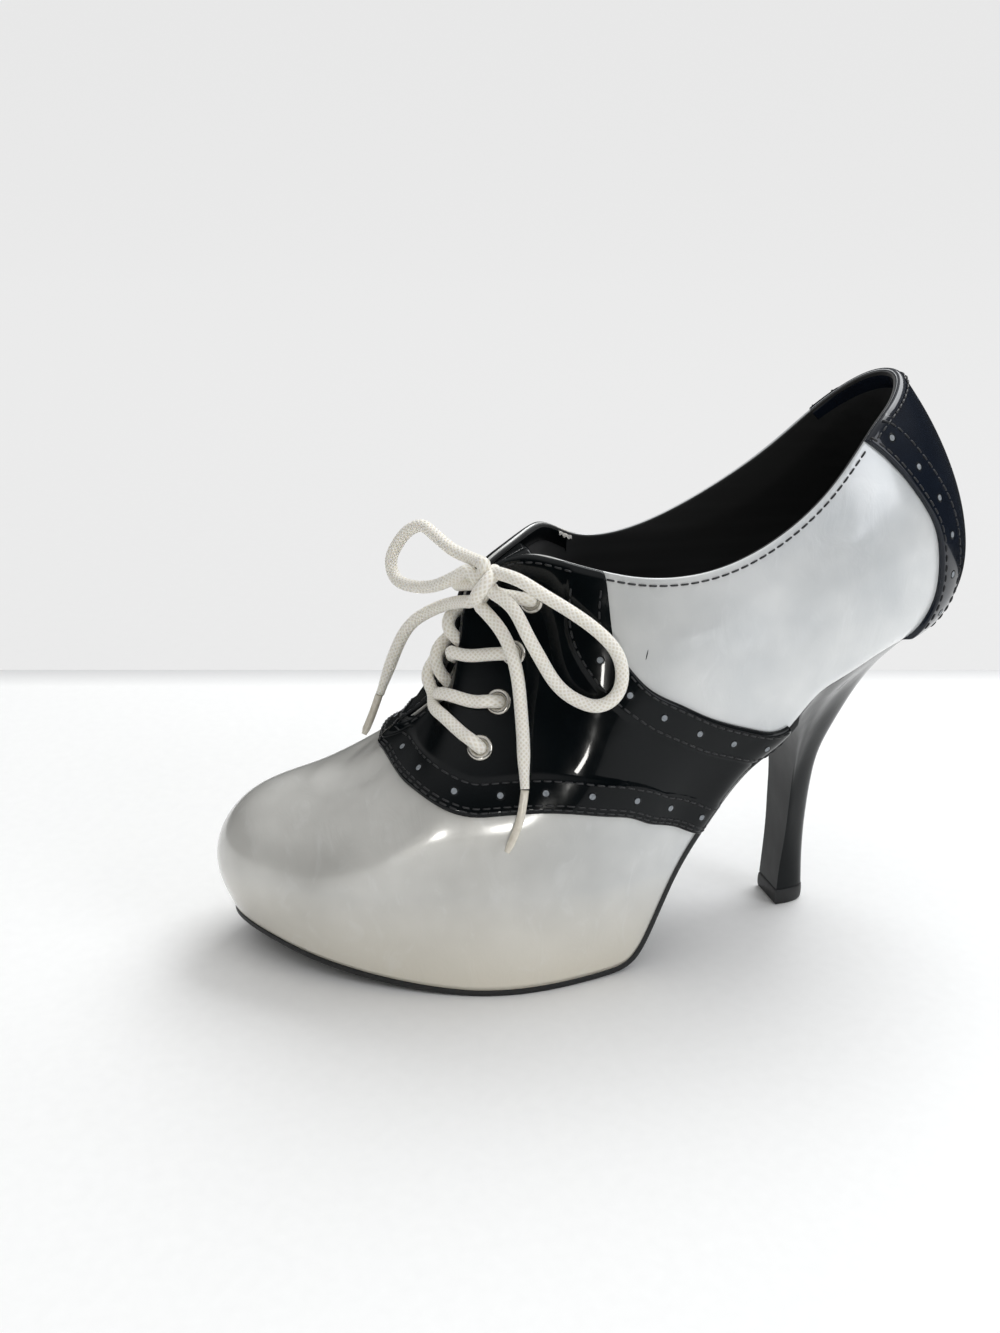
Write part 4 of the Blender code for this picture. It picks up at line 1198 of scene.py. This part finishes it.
def make_rub_mark():
    """The short dark mark on the outer quarter, a few millimetres behind the saddle."""
    share = np.linspace(0, 1, 8)
    station, rise = (RUB_FROM + (RUB_TO - RUB_FROM) * share[:, None]).T
    build = Build()
    tube(build, skin(station, rise, 0.02 * MM),
         RUB_WIDTH / 2 * np.sin(math.pi * (0.1 + 0.8 * share)), 8)
    return build.make("rub_mark", [RUBBER])


make_throat_bar()
make_tape_end()
make_rub_mark()


# Tongue, insole and sole

TONGUE_STATIONS = (11.75, 7.90)     # of its root and of its top


def make_tongue():
    """The loose tongue behind the facings, with a rounded edge."""
    row = np.linspace(*TONGUE_STATIONS, 60)
    rise = np.linspace(*TONGUE_SIDES, 14)
    station, rise = np.meshgrid(row, rise, indexing="ij")
    layers = []
    for depth in (WALL + TONGUE_GAP, WALL + TONGUE_GAP + TONGUE):
        outer_side = offset(station, rise, np.full(station.shape, -depth))
        inner_side = offset(STATIONS - station, rise, np.full(station.shape, -depth))[:, ::-1]
        middle = (outer_side[:, -1:] + inner_side[:, :1]) / 2
        grid = np.concatenate([outer_side, middle, inner_side], 1)
        beyond = unit(grid[-1:] - grid[-4:-3])
        rows = [grid] + [grid[-1:] + beyond * TONGUE_RISE * share for share in (0.3, 0.6, 0.9)]
        layers.append(np.concatenate(rows))
    front, back = layers
    middle = (front + back) / 2
    tip = middle[-1:] + unit(middle[-1:] - middle[-3:-2]) * TONGUE_RISE * 0.1
    loop = np.concatenate([front, tip, back[::-1]])
    build = Build()
    build.grid(loop, closed_rows=True)
    for side in (0, -1):
        build.grid(np.stack([front[:, side], back[:, side]], 1))
    return build.make("tongue", [PATENT], ["tongue"])


def bed_rise(station, depth, lift):
    """How far up the inner wall the foot bed lies, raised by lift."""
    rises = np.linspace(0, 0.6, 61)
    inner = offset(station[:, None], rises, np.full((len(station), 61), -depth))
    above = inner[..., 2] - bed_height(inner[..., 1]) - lift
    first = np.maximum((above > 0).argmax(1), 1)
    rows = np.arange(len(station))
    low, high = above[rows, first - 1], above[rows, first]
    share = np.clip(low / (low - high), 0, 1)
    return rises[first - 1] + share * (rises[1] - rises[0])


def filled(ring, across=24):
    """A surface inside a ring of points that is alike on both sides, as strips from side to side."""
    half = len(ring) // 2
    left = ring[:half + 1]
    right = np.concatenate([ring[:1], ring[:half - 1:-1]])[:half + 1]
    share = np.linspace(0, 1, across)[None, :, None]
    return left[:, None] * (1 - share) + right[:, None] * share


def make_insole():
    """The padded sock: a black cloth-covered bed, a little dished."""
    station = np.linspace(0, STATIONS, 300, endpoint=False)
    depth = WALL + 0.15 * MM
    rim = offset(station, bed_rise(station, depth, INSOLE + GAP), np.full(300, -depth))
    top = filled(rim)
    across = np.linspace(-1, 1, top.shape[1])
    dish = (1 - across ** 2) * 0.8 * MM
    top[..., 2] -= dish[None, :] * smoothstep(np.linspace(0, 8, len(top)))[:, None]
    under = top - [0, 0, INSOLE]
    build = Build()
    build.grid(np.concatenate([top, under[:, ::-1]], 1), closed_columns=True)
    return build.make("insole", [LINING], ["insole"])


TREAD_EDGE = 0.5 * MM    # how round the outsole's edges are


def make_sole():
    """The thin black outsole with rounded edges, and the covered shank above it to the heel."""
    half = np.linspace(0, STATIONS / 2, 200)
    half = np.sort(np.append(half, [BREAST_STATION - 0.01, BREAST_STATION, OUTSOLE_STATION]))
    station = np.concatenate([half, STATIONS - half[-2:0:-1]])
    edge = feather(station)
    depth = WALL + LINING_GAP
    foot = offset(station, 0 * station, np.full(len(station), -depth))
    side = np.minimum(station, STATIONS - station)
    on_sole = smoothstep((side - BREAST_STATION) / (OUTSOLE_STATION - BREAST_STATION))[:, None]
    slope = side_slope(edge[:, 1])[:, None]
    drop = np.array([[0, 0, 1.0]])
    rim = foot * (1 - on_sole) + edge * on_sole
    rim[:, 2] = edge[:, 2] - 0.1 * MM
    way = np.gradient(edge, axis=0)
    out = unit(np.stack([-way[:, 1], way[:, 0], 0 * way[:, 0]], 1))
    rings = [offset(station, bed_rise(station, depth, 0) * share, np.full(len(station), -depth))
             for share in (1.0, 0.75, 0.5, 0.25)]
    rings.append(foot)
    thick = OUTSOLE * slope
    for turn in np.linspace(-math.pi / 2, math.pi / 2, 9):
        along = (1 + math.sin(turn)) / 2
        inward = TREAD_EDGE * (1 - math.cos(turn) ** 0.6) if abs(math.cos(turn)) > 0.01 \
            else TREAD_EDGE
        rings.append(rim - out * inward * on_sole - drop * (0.1 * MM + thick * along * on_sole))
    rings = [np.stack([r[:, 0], r[:, 1], np.maximum(r[:, 2], 0)], 1) for r in rings]
    build = Build()
    build.grid(np.stack(rings), closed_columns=True)
    build.grid(filled(rings[0]))
    build.grid(filled(rings[-1])[:, ::-1])
    return build.make("sole", [RUBBER], ["sole"], sharp=50)


# Heel

def heel_sides(count):
    """Shares of the way round the heel from its back: 1 is the outer front corner, -1 the inner."""
    half = np.linspace(0, 1, count)
    return np.concatenate([half[:0:-1], -half])


def tip_outline(side, width, depth):
    """The heel tip's D, from its outer front corner round the back to its inner front corner."""
    turn = side * math.pi / 2
    x = np.sign(turn) * np.abs(np.sin(turn)) ** TIP_SIDE_CURVE * width / 2
    y = -depth / 2 + depth * np.maximum(np.cos(turn), 0) ** TIP_BACK_CURVE
    return np.stack([x, y], 1)


def heel_stack(rings, name, finish, replaces):
    """A body of D-shaped rings, with a flat front that meets the sides in a crisp edge."""
    rings = np.array(rings)
    share = np.linspace(0, 1, 9)[1:-1, None]
    full = []
    for ring in rings:
        front = ring[-1] * (1 - share) + ring[0] * share
        full.append(np.concatenate([ring, front]))
    full = np.array(full)
    first = np.repeat(full[:1].mean(1, keepdims=True), full.shape[1], 1)
    last = np.repeat(full[-1:].mean(1, keepdims=True), full.shape[1], 1)
    build = Build()
    build.grid(np.concatenate([first, full, last]), closed_columns=True)
    return build.make(name, [finish], replaces, sharp=38)


def make_heel():
    """The slim heel, drawn from the tip's D up to the seat's."""
    side = heel_sides(60)
    seat = feather(BREAST_STATION * side)
    tip = tip_outline(side, TIP_WIDTH, TIP_DEPTH)
    front = np.abs(side) ** 2
    rings = []
    for up in np.linspace(0, 1, 90):
        back, across, breast = spline(*columns(HEEL_STEPS), up)
        moved = back + (breast - back) * front
        rings.append(np.stack([
            tip[:, 0] + (seat[:, 0] - tip[:, 0]) * across,
            tip[:, 1] + (seat[:, 1] - tip[:, 1]) * moved,
            TIP_HEIGHT + (seat[:, 2] - GAP - TIP_HEIGHT) * up], 1))
    return heel_stack(rings, "heel", PATENT, ["heel"])


def make_heel_tip():
    """The rubber top piece, with rounded edges."""
    side = heel_sides(40)
    rings = []
    for turn in np.linspace(-math.pi / 2, math.pi / 2, 9):
        inward = 0.4 * MM * (1 - math.cos(turn))
        outline = tip_outline(side, TIP_WIDTH + 2 * (TIP_LIP - inward),
                              TIP_DEPTH + 2 * (TIP_LIP - inward))
        z = (TIP_HEIGHT - GAP) * (1 + math.sin(turn)) / 2
        rings.append(np.column_stack([outline, np.full(len(outline), z)]))
    return heel_stack(rings, "heel_tip", RUBBER, ["heel_tip"])


make_tongue()
make_insole()
make_sole()
make_heel()
make_heel_tip()


# Seams, holes and eyelets

STITCH = 2.3 * MM
STITCH_GAP = 0.7 * MM
THREAD_RADIUS = 0.30 * MM


def stitches(name, rows, height, both=True):
    """A row of short raised stitches on the skin, joined in one piece."""
    build = Build()
    for line in ((rows, mirrored(rows)) if both else (rows,)):
        station, rise = on_skin(line, STITCH + STITCH_GAP)
        points = skin(station, rise, height)
        out = shell_normal(station, rise)
        for a, b, n in zip(points, points[1:], out):
            gap = (b - a) * STITCH_GAP / (2 * (STITCH + STITCH_GAP))
            a, b = a + gap, b - gap
            share = np.array([0, 0.12, 0.35, 0.65, 0.88, 1.0])
            lift = np.array([-0.30, 0.0, 0.12, 0.12, 0.0, -0.30]) * MM
            path = a + (b - a) * share[:, None] + n * lift[:, None]
            tube(build, path, np.array([0.6, 1, 1, 1, 1, 0.6]) * THREAD_RADIUS, 6)
    return build.make(name, [THREAD])


HOLE_RADIUS = 1.05 * MM
# Radius, as a share of the hole's, and height in millimetres: its rim and its bottom
HOLE_RIM = ((1.35, -0.05), (1.22, 0.05), (1.05, 0.09), (0.95, 0.06), (0.86, 0.03))
HOLE_BOTTOM = ((0.86, 0.03), (0.70, 0.035), (0.35, 0.045), (0.001, 0.05))


def rings_at(station, rise, height, profile, count):
    """Rings round a place on the skin, one for each radius and height of a profile."""
    centre = skin(station, rise, height)
    normal = shell_normal(station, rise)
    along = unit(shell(station, rise + REACH) - shell(station, rise - REACH))
    across = np.cross(normal, along)
    turn = np.linspace(0, 2 * math.pi, count, endpoint=False)[:, None]
    return np.array([centre + r * (np.cos(turn) * along + np.sin(turn) * across) + normal * h
                     for r, h in profile])


def holes(name, places, height):
    """Round punched holes: a rim that turns down, and the pale backing at the bottom."""
    build = Build()
    for station, rise in places:
        for mark, profile in enumerate((HOLE_RIM, HOLE_BOTTOM)):
            profile = [(HOLE_RADIUS * r, h * MM) for r, h in profile]
            build.grid(rings_at(station, rise, height, profile, 20), closed_columns=True, mark=mark)
    return build.make(name, [PATENT, BACKING])


# The counter's front edge, clear of its thin foot
counter_edge = np.array([(station, rise) for rise, station in COUNTER[1:]])


def below_edge(first, last, distance):
    """A line a given distance below the top edge, between two stations."""
    station = np.linspace(first, last, 12)
    return np.stack([station, 1 - distance / rib_length(station)], 1)


def spaced(rows, gap, trim):
    """Places a gap apart along a line, kept clear of its ends."""
    step = 0.5 * MM
    station, rise = on_skin(rows, step)
    first = int(trim / step)
    last = len(station) - 1 - first
    at = np.linspace(first, last, int(round((last - first) * step / gap)) + 1).astype(int)
    return np.stack([station[at], rise[at]], 1)


ON_FACE = FACE_HEIGHT
ON_BAND = FACE_HEIGHT + BAND_LIFT
HOLE_GAP = 13 * MM
SEAMS = (
    # name, line, height, on both sides of the shoe
    ("low_edge", inset(low_edge, 1.3 * MM), ON_BAND, False),
    ("low_edge_second", inset(low_edge, 2.5 * MM), ON_BAND, False),
    ("low_band", inset(low_edge, LOW_BAND - 1.2 * MM), ON_BAND, False),
    ("rear_edge", inset(rear_edge, -1.4 * MM), ON_BAND, True),
    ("rear_band", inset(rear_edge, 1.2 * MM - REAR_BAND), ON_BAND, True),
    ("topline", below_edge(2.25, 6.70, 2.2 * MM), 0.1 * MM, True),
    ("facing", below_edge(6.85, 11.6, 2.4 * MM), ON_FACE, True),
    ("counter_top", below_edge(-2.05, 2.05, 2.4 * MM), ON_BAND, False),
    ("counter_edge", inset(counter_edge, 1.5 * MM), ON_BAND, True),
    ("counter_band", inset(counter_edge, COUNTER_BAND - 1.2 * MM), ON_BAND, True),
)
for name, rows, height, both in SEAMS:
    stitches("stitches_" + name, rows, height, both)

low_holes = spaced(inset(low_edge, LOW_BAND / 2 + 0.6 * MM), HOLE_GAP, 5 * MM)
rear_holes = spaced(inset(rear_edge, -REAR_BAND / 2), HOLE_GAP, 8 * MM)
counter_holes = spaced(inset(counter_edge, COUNTER_BAND / 2), HOLE_GAP, 6 * MM)
holes("holes_low_band", low_holes, ON_BAND)
holes("holes_rear_band", np.concatenate([rear_holes, mirrored(rear_holes)]), ON_BAND)
holes("holes_counter", np.concatenate([counter_holes, mirrored(counter_holes)]), ON_BAND)


RIM_RADIUS = 1.2 * EYELET_RADIUS    # as wide as the photograph shows it


def make_eyelet(name, station, rise, node_name):
    """A rolled ring: a domed flange with a barrel that goes down through the leather."""
    middle = (RIM_RADIUS + EYELET_BORE) / 2
    half = (RIM_RADIUS - EYELET_BORE) / 2
    profile = [(middle + half * math.cos(t), 0.85 * MM * math.sin(t))
               for t in np.linspace(0, math.pi, 12)]
    profile += [(EYELET_BORE, -1.0 * MM), (EYELET_BORE, -3.2 * MM),
                (EYELET_BORE + 0.3 * MM, -3.2 * MM), (EYELET_BORE + 0.3 * MM, -0.3 * MM)]
    rings = rings_at(station, rise, FACE_HEIGHT, profile, 48)
    build = Build()
    build.grid(rings.transpose(1, 0, 2), closed_rows=True, closed_columns=True)
    return build.make(name, [NICKEL], [node_name])


def make_bore(name, places):
    """The dark hole seen inside each eyelet, down to the lining."""
    build = Build()
    profile = [(EYELET_BORE * r, h * MM)
               for r, h in ((1.02, -0.3), (1.02, 0.12), (0.5, 0.10), (0.001, 0.10))]
    for station, rise in places:
        build.grid(rings_at(station, rise, FACE_HEIGHT, profile, 32), closed_columns=True)
    return build.make(name, [LINING])


for number, (station, rise, _) in enumerate(EYELETS, 1):
    make_eyelet(f"eyelet_outer_{number}", station, rise, f"eyelet_outer_{number}")
    make_eyelet(f"eyelet_inner_{number}", STATIONS - station, rise, f"eyelet_inner_{number}")
make_bore("eyelet_holes", [(s, r) for s, r, _ in EYELETS]
          + [(STATIONS - s, r) for s, r, _ in EYELETS])


# Lace

BRAID_STEP = 0.8 * MM     # between the rings that a lace is drawn with
LACE_SIDES = 16


def lace_tube(name, path, run, radius, finish, replaces):
    """A piece of cord as one piece of the shoe."""
    build = Build()
    tube(build, path, radius, LACE_SIDES, run)
    return build.make(name, [finish], replaces)


def on_face(station, rise, lift):
    """A place above the black leather's face."""
    return skin(station, rise, FACE_HEIGHT + lift)


LYING = LACE / 2 - 0.1 * MM     # the lace's middle above the leather that it lies on


def through_eyelet(row, inner, toward):
    """The lace from inside the shoe up through an eyelet and down onto the leather beside it."""
    station, rise, _ = EYELETS[row]
    station = STATIONS - station if inner else station
    base = on_face(station, rise, 0)
    normal = shell_normal(station, rise)
    ahead = unit(toward - base)
    ahead = unit(ahead - normal * (ahead @ normal))
    return [base - normal * 3.4 * MM, base - normal * 1.2 * MM - ahead * 0.2 * MM,
            base + normal * 1.3 * MM + ahead * 0.5 * MM,
            base + normal * 2.5 * MM + ahead * 3.2 * MM]


# The strands between the facings as the photograph shows them. One that comes up through an outer
# eyelet lies on its facing and goes on over the throat. One that comes up through an inner eyelet
# arches over the throat and dives under the edge of the outer facing.
STRANDS = (
    # name, row of its outer eyelet, places on the outer facing as station and rise, places over the
    # throat in metres, row of its inner eyelet, solids it stands for
    ("lace_crossing_1", 0, ((8.60, 0.638), (9.00, 0.725), (10.20, 0.913)),
     ((0.0018, -0.1200, 0.0853), (-0.0008, -0.1209, 0.0890), (-0.0040, -0.1188, 0.0925),
      (-0.0072, -0.1155, 0.0950)), 1, ("lace_crossing_1",)),
    ("lace_crossing_2", 1, ((8.42, 0.703), (8.80, 0.753), (9.90, 0.905)),
     ((0.0025, -0.1177, 0.0836), (-0.0005, -0.1184, 0.0830), (-0.0045, -0.1172, 0.0832)), 0,
     ("lace_crossing_2",)),
    ("lace_crossing_3", 2, ((8.25, 0.800), (8.65, 0.840), (9.10, 0.915)),
     ((0.0030, -0.1136, 0.0972), (0.0008, -0.1138, 0.0962), (-0.0012, -0.1122, 0.0948)), None,
     ("lace_crossing_3",)),
    ("lace_dive_1", None, (),
     ((0.0048, -0.1112, 0.0858), (0.0045, -0.1130, 0.0864), (0.0030, -0.1152, 0.0883),
      (0.0015, -0.1176, 0.0915), (-0.0005, -0.1184, 0.0952), (-0.0025, -0.1168, 0.0982),
      (-0.0055, -0.1120, 0.1008)), 2, ()),
    ("lace_dive_2", None, (),
     ((0.0055, -0.1085, 0.0992), (0.0045, -0.1106, 0.1004), (0.0025, -0.1131, 0.1024),
      (0.0005, -0.1147, 0.1053), (-0.0015, -0.1136, 0.1077), (-0.0040, -0.1098, 0.1096)), 3, ()),
)


def make_strands():
    """The strands between the facings, each in one piece with its ends inside the eyelets."""
    for name, outer_row, lying, bridge, inner_row, stood_for in STRANDS:
        path = [on_face(station, rise, LYING) for station, rise in lying]
        path += [np.array(place) for place in bridge]
        if outer_row is not None:
            path = through_eyelet(outer_row, False, path[0]) + path
        if inner_row is not None:
            path += through_eyelet(inner_row, True, path[-1])[::-1]
        path, run = through(np.array(path), BRAID_STEP)
        lace_tube(name, path, run, LACE / 2, COTTON, stood_for)


make_strands()


# The bow

KNOT_AT = offset(*KNOT_ON, KNOT_OUT)
TOWARD_VIEW = unit(np.array([0.90, -0.24, 0.34]))     # from the knot, about, to the camera
WRAP_TALL = 4.9 * MM    # the turn of lace round the knot, seen from there: half of its height,
WRAP_DEEP = 4.8 * MM    # half of its depth,
WRAP_TWIST = 0.3 * MM   # how far it strays to each side,
WRAP_LEAN = 0.55        # and how it leans, in radians


def make_top_strands():
    """The strands from the last two eyelets up into the knot."""
    for inner, target in ((False, TOP_STRAND_OUTER), (True, TOP_STRAND_INNER)):
        goal = KNOT_AT + np.array(target) * 0.7
        path = through_eyelet(3, inner, goal)
        if inner:
            path.append(on_face(STATIONS - 8.6, 0.975, LYING))
        path += [goal, KNOT_AT + np.array(target) * 0.15]
        path, run = through(np.array(path), BRAID_STEP)
        side = "inner" if inner else "outer"
        lace_tube(f"lace_top_{side}", path, run, LACE / 2, COTTON, [f"lace_top_{side}"])


def make_knot():
    """The bow's knot: a turn of lace wrapped round the crossed ends of the loops."""
    build = Build()
    right = unit(np.cross((0, 0, 1), TOWARD_VIEW))
    up = unit(np.cross(TOWARD_VIEW, right))
    across = math.cos(WRAP_LEAN) * right - math.sin(WRAP_LEAN) * up
    along = math.sin(WRAP_LEAN) * right + math.cos(WRAP_LEAN) * up
    path = np.array([KNOT_AT + along * WRAP_TALL * math.cos(t) + across * WRAP_TWIST * math.sin(2 * t)
                     + TOWARD_VIEW * WRAP_DEEP * math.sin(t)
                     for t in np.linspace(0, 2 * math.pi, 40)])
    run = np.append(0, np.cumsum(np.linalg.norm(np.diff(path, axis=0), axis=1)))
    tube(build, path, LACE / 2 * 1.08, LACE_SIDES, run)

    def place(a, b, c):
        return KNOT_AT + (a * right + b * up + c * TOWARD_VIEW) * MM

    def out_of(route, end):
        """Places just inside a free cord's end and just behind it, so that the two run on."""
        first, second = np.array(route[end]), np.array(route[1 if end == 0 else -2])
        back = unit(first - second)
        return [KNOT_AT + first - back * 0.6 * MM, KNOT_AT + first + back * 0.9 * MM]

    for start, middle, end in (
            (out_of(LOOP_OUTER, 0), [place(2.2, 2.6, 0.6), place(-0.4, 1.4, 0.4)],
             out_of(LOOP_INNER, -1)),
            (out_of(LOOP_INNER, 0), [place(-0.6, 0.8, -0.6), place(1.8, -0.6, -0.2)],
             out_of(LOOP_OUTER, -1)),
            (out_of(END_OUTER, 0), [place(0.4, -1.4, -0.8)], out_of(END_INNER, 0))):
        route = start + middle + end[::-1]
        path, run = through(np.array(route), BRAID_STEP)
        tube(build, path, LACE / 2 * 0.98, LACE_SIDES, run)
    return build.make("lace_knot", [COTTON], ["lace_knot"])


def free_cord(name, route, with_pieces=(), ends=(1.0, 1.0)):
    """A loop or an end of the bow: a free cord on the route of its solid."""
    path, run = through(KNOT_AT + route, BRAID_STEP)
    share = run / run[-1]
    width = LACE / 2 * (1 - (1 - ends[0]) * smoothstep(1 - share / 0.08)
                        - (1 - ends[1]) * smoothstep((share - 0.80) / 0.20))
    made = lace_tube(name, path, run, width, COTTON, [name])
    return made


def aglet(name, route):
    path, run = through(KNOT_AT + route, 0.5 * MM)
    share = run / run[-1]
    width = AGLET / 2 * (1 - 0.28 * smoothstep((share - 0.86) / 0.14))
    return lace_tube(name, path, run, width, FILM, [name])


make_top_strands()
make_knot()
free_cord("lace_loop_outer", LOOP_OUTER)
free_cord("lace_loop_inner", LOOP_INNER)
free_cord("lace_end_outer", END_OUTER, [aglet("aglet_outer", AGLET_OUTER)], (1.0, 0.68))
free_cord("lace_end_inner", END_INNER, [aglet("aglet_inner", AGLET_INNER)], (1.0, 0.68))


# Floor, light and camera

FLOOR_SIZE = 6.0
PAPER_END = 0.218       # behind the shoe, where the white paper ends in the photograph
PAPER_FADE = 0.022      # over which it turns grey there
BEND_AT = 2.4           # behind the shoe, where the backdrop starts to curve up
BEND_RADIUS = 1.2
# Level and away from the camera
AWAY = unit(np.array([CAMERA_AHEAD[0], CAMERA_AHEAD[1], 0]))


def sheet(name, rows, finish):
    """A sheet across the view, through rows of how far behind the shoe and how high it lies."""
    side = np.array([-AWAY[1], AWAY[0], 0])
    across = np.linspace(-FLOOR_SIZE / 2, FLOOR_SIZE / 2, 12)
    build = Build()
    build.grid([[AWAY * a + side * b + np.array([0, 0, z]) for b in across] for a, z in rows])
    made = build.draw(name, [finish])
    return made


def grey_backdrop():
    """An evenly lit pale grey cloth: it looks the same all over, so it is drawn as its own light."""
    made, shader = finish_of("pale_grey_backdrop", {"Roughness": 0.9, "Base Color": (0, 0, 0, 1),
                                                    "Emission Strength": 1.0})
    place = node(made, "TexCoord")
    fibre = node(made, "TexNoise", {"Scale": PER_METRE / 6, "Detail": 2.0},
                 Vector=place.outputs["Object"])
    shade = node(made, "Mix", {"data_type": "RGBA", 6: linear("#e6e6e6"),
                                         7: linear("#e8e8e8")}, i0=fibre)
    feed(made, shader, "Emission Color", shade.outputs[2])
    return made


def make_floor():
    """White paper under the shoe, and a grey backdrop that starts just behind it and curves up."""
    sheet("studio_paper", [(a, 0.0) for a in np.linspace(-FLOOR_SIZE / 2, PAPER_END, 20)],
          studio_paper())
    rows = [(a, 0.0) for a in np.linspace(PAPER_END, BEND_AT, 12)]
    rows += [(BEND_AT + BEND_RADIUS * math.sin(a), BEND_RADIUS * (1 - math.cos(a)))
             for a in np.linspace(0, math.pi / 2, 20)[1:]]
    backdrop = sheet("studio_backdrop", rows, grey_backdrop())
    backdrop.visible_glossy = False


def area_light(name, place, target, size, power, colour):
    """A rectangular lamp that faces its target. size is in metres and power in watts."""
    light = bpy.data.lights.new(name, "AREA")
    light.shape = "RECTANGLE"
    light.size, light.size_y = size
    light.energy = power
    light.color = linear(colour)[:3]
    made = bpy.data.objects.new(name, light)
    made.location = place
    made.rotation_euler = (Vector(target) - Vector(place)).to_track_quat("-Z", "Y").to_euler()
    bpy.context.scene.collection.objects.link(made)


SHOE_MIDDLE = (0.0, -0.07, 0.08)


DARK_HORIZON = 0.03      # strengths of the air: a dark horizon keeps the black leather black
BRIGHT_CEILING = 0.86
SEEN_BACKDROP = 0.80


def studio_air():
    """A bright ceiling that darkens to the horizon, and a plain pale backdrop behind the shoe."""
    world = bpy.data.worlds.new("studio_air")
    world.use_nodes = True
    background = world.node_tree.nodes["Background"]
    place = node(world, "TexCoord")
    split = node(world, "SeparateXYZ", Vector=place.outputs["Generated"])
    high = node(world, "MapRange", {"interpolation_type": "SMOOTHSTEP", "From Min": 0.20,
                                              "From Max": 0.85, "To Min": DARK_HORIZON,
                                              "To Max": BRIGHT_CEILING},
                Value=split.outputs["Z"])
    seen = node(world, "LightPath")
    level = node(world, "Mix", {"data_type": "FLOAT", 3: SEEN_BACKDROP},
                 i0=seen.outputs["Is Camera Ray"], i2=high)
    background.inputs["Color"].default_value = linear("#fafafa")
    world.node_tree.links.new(level.outputs[0], background.inputs["Strength"])
    bpy.context.scene.world = world


make_floor()
area_light("overhead_soft_box", (-0.55, 0.75, 1.5), SHOE_MIDDLE, (1.3, 1.1), 21, "#fbfdff")
area_light("window_behind_camera", (1.92, -0.62, 0.24), SHOE_MIDDLE, (0.09, 0.12), 3.2, "#fffdf8")
area_light("soft_box_at_heel_side", (1.1, 0.9, 0.75), SHOE_MIDDLE, (0.7, 0.7), 5.5, "#f8faff")
studio_air()
bpy.context.scene.view_settings.view_transform = "Standard"

camera_data = bpy.data.cameras.new("photo_camera")
camera_data.sensor_fit = "AUTO"
camera_data.sensor_width = SENSOR
camera_data.lens = LENS
camera_data.clip_start = 0.01
camera = bpy.data.objects.new("photo_camera", camera_data)
ahead, up = Vector(CAMERA_AHEAD).normalized(), Vector(CAMERA_UP).normalized()
right = ahead.cross(up).normalized()
up = right.cross(ahead)
turned = Matrix((right, up, -ahead)).transposed()
camera.matrix_world = Matrix.Translation(CAMERA) @ turned.to_4x4()
bpy.context.scene.collection.objects.link(camera)
bpy.context.scene.camera = camera


def plain(box):
    return [[float(x) for x in corner] for corner in box]
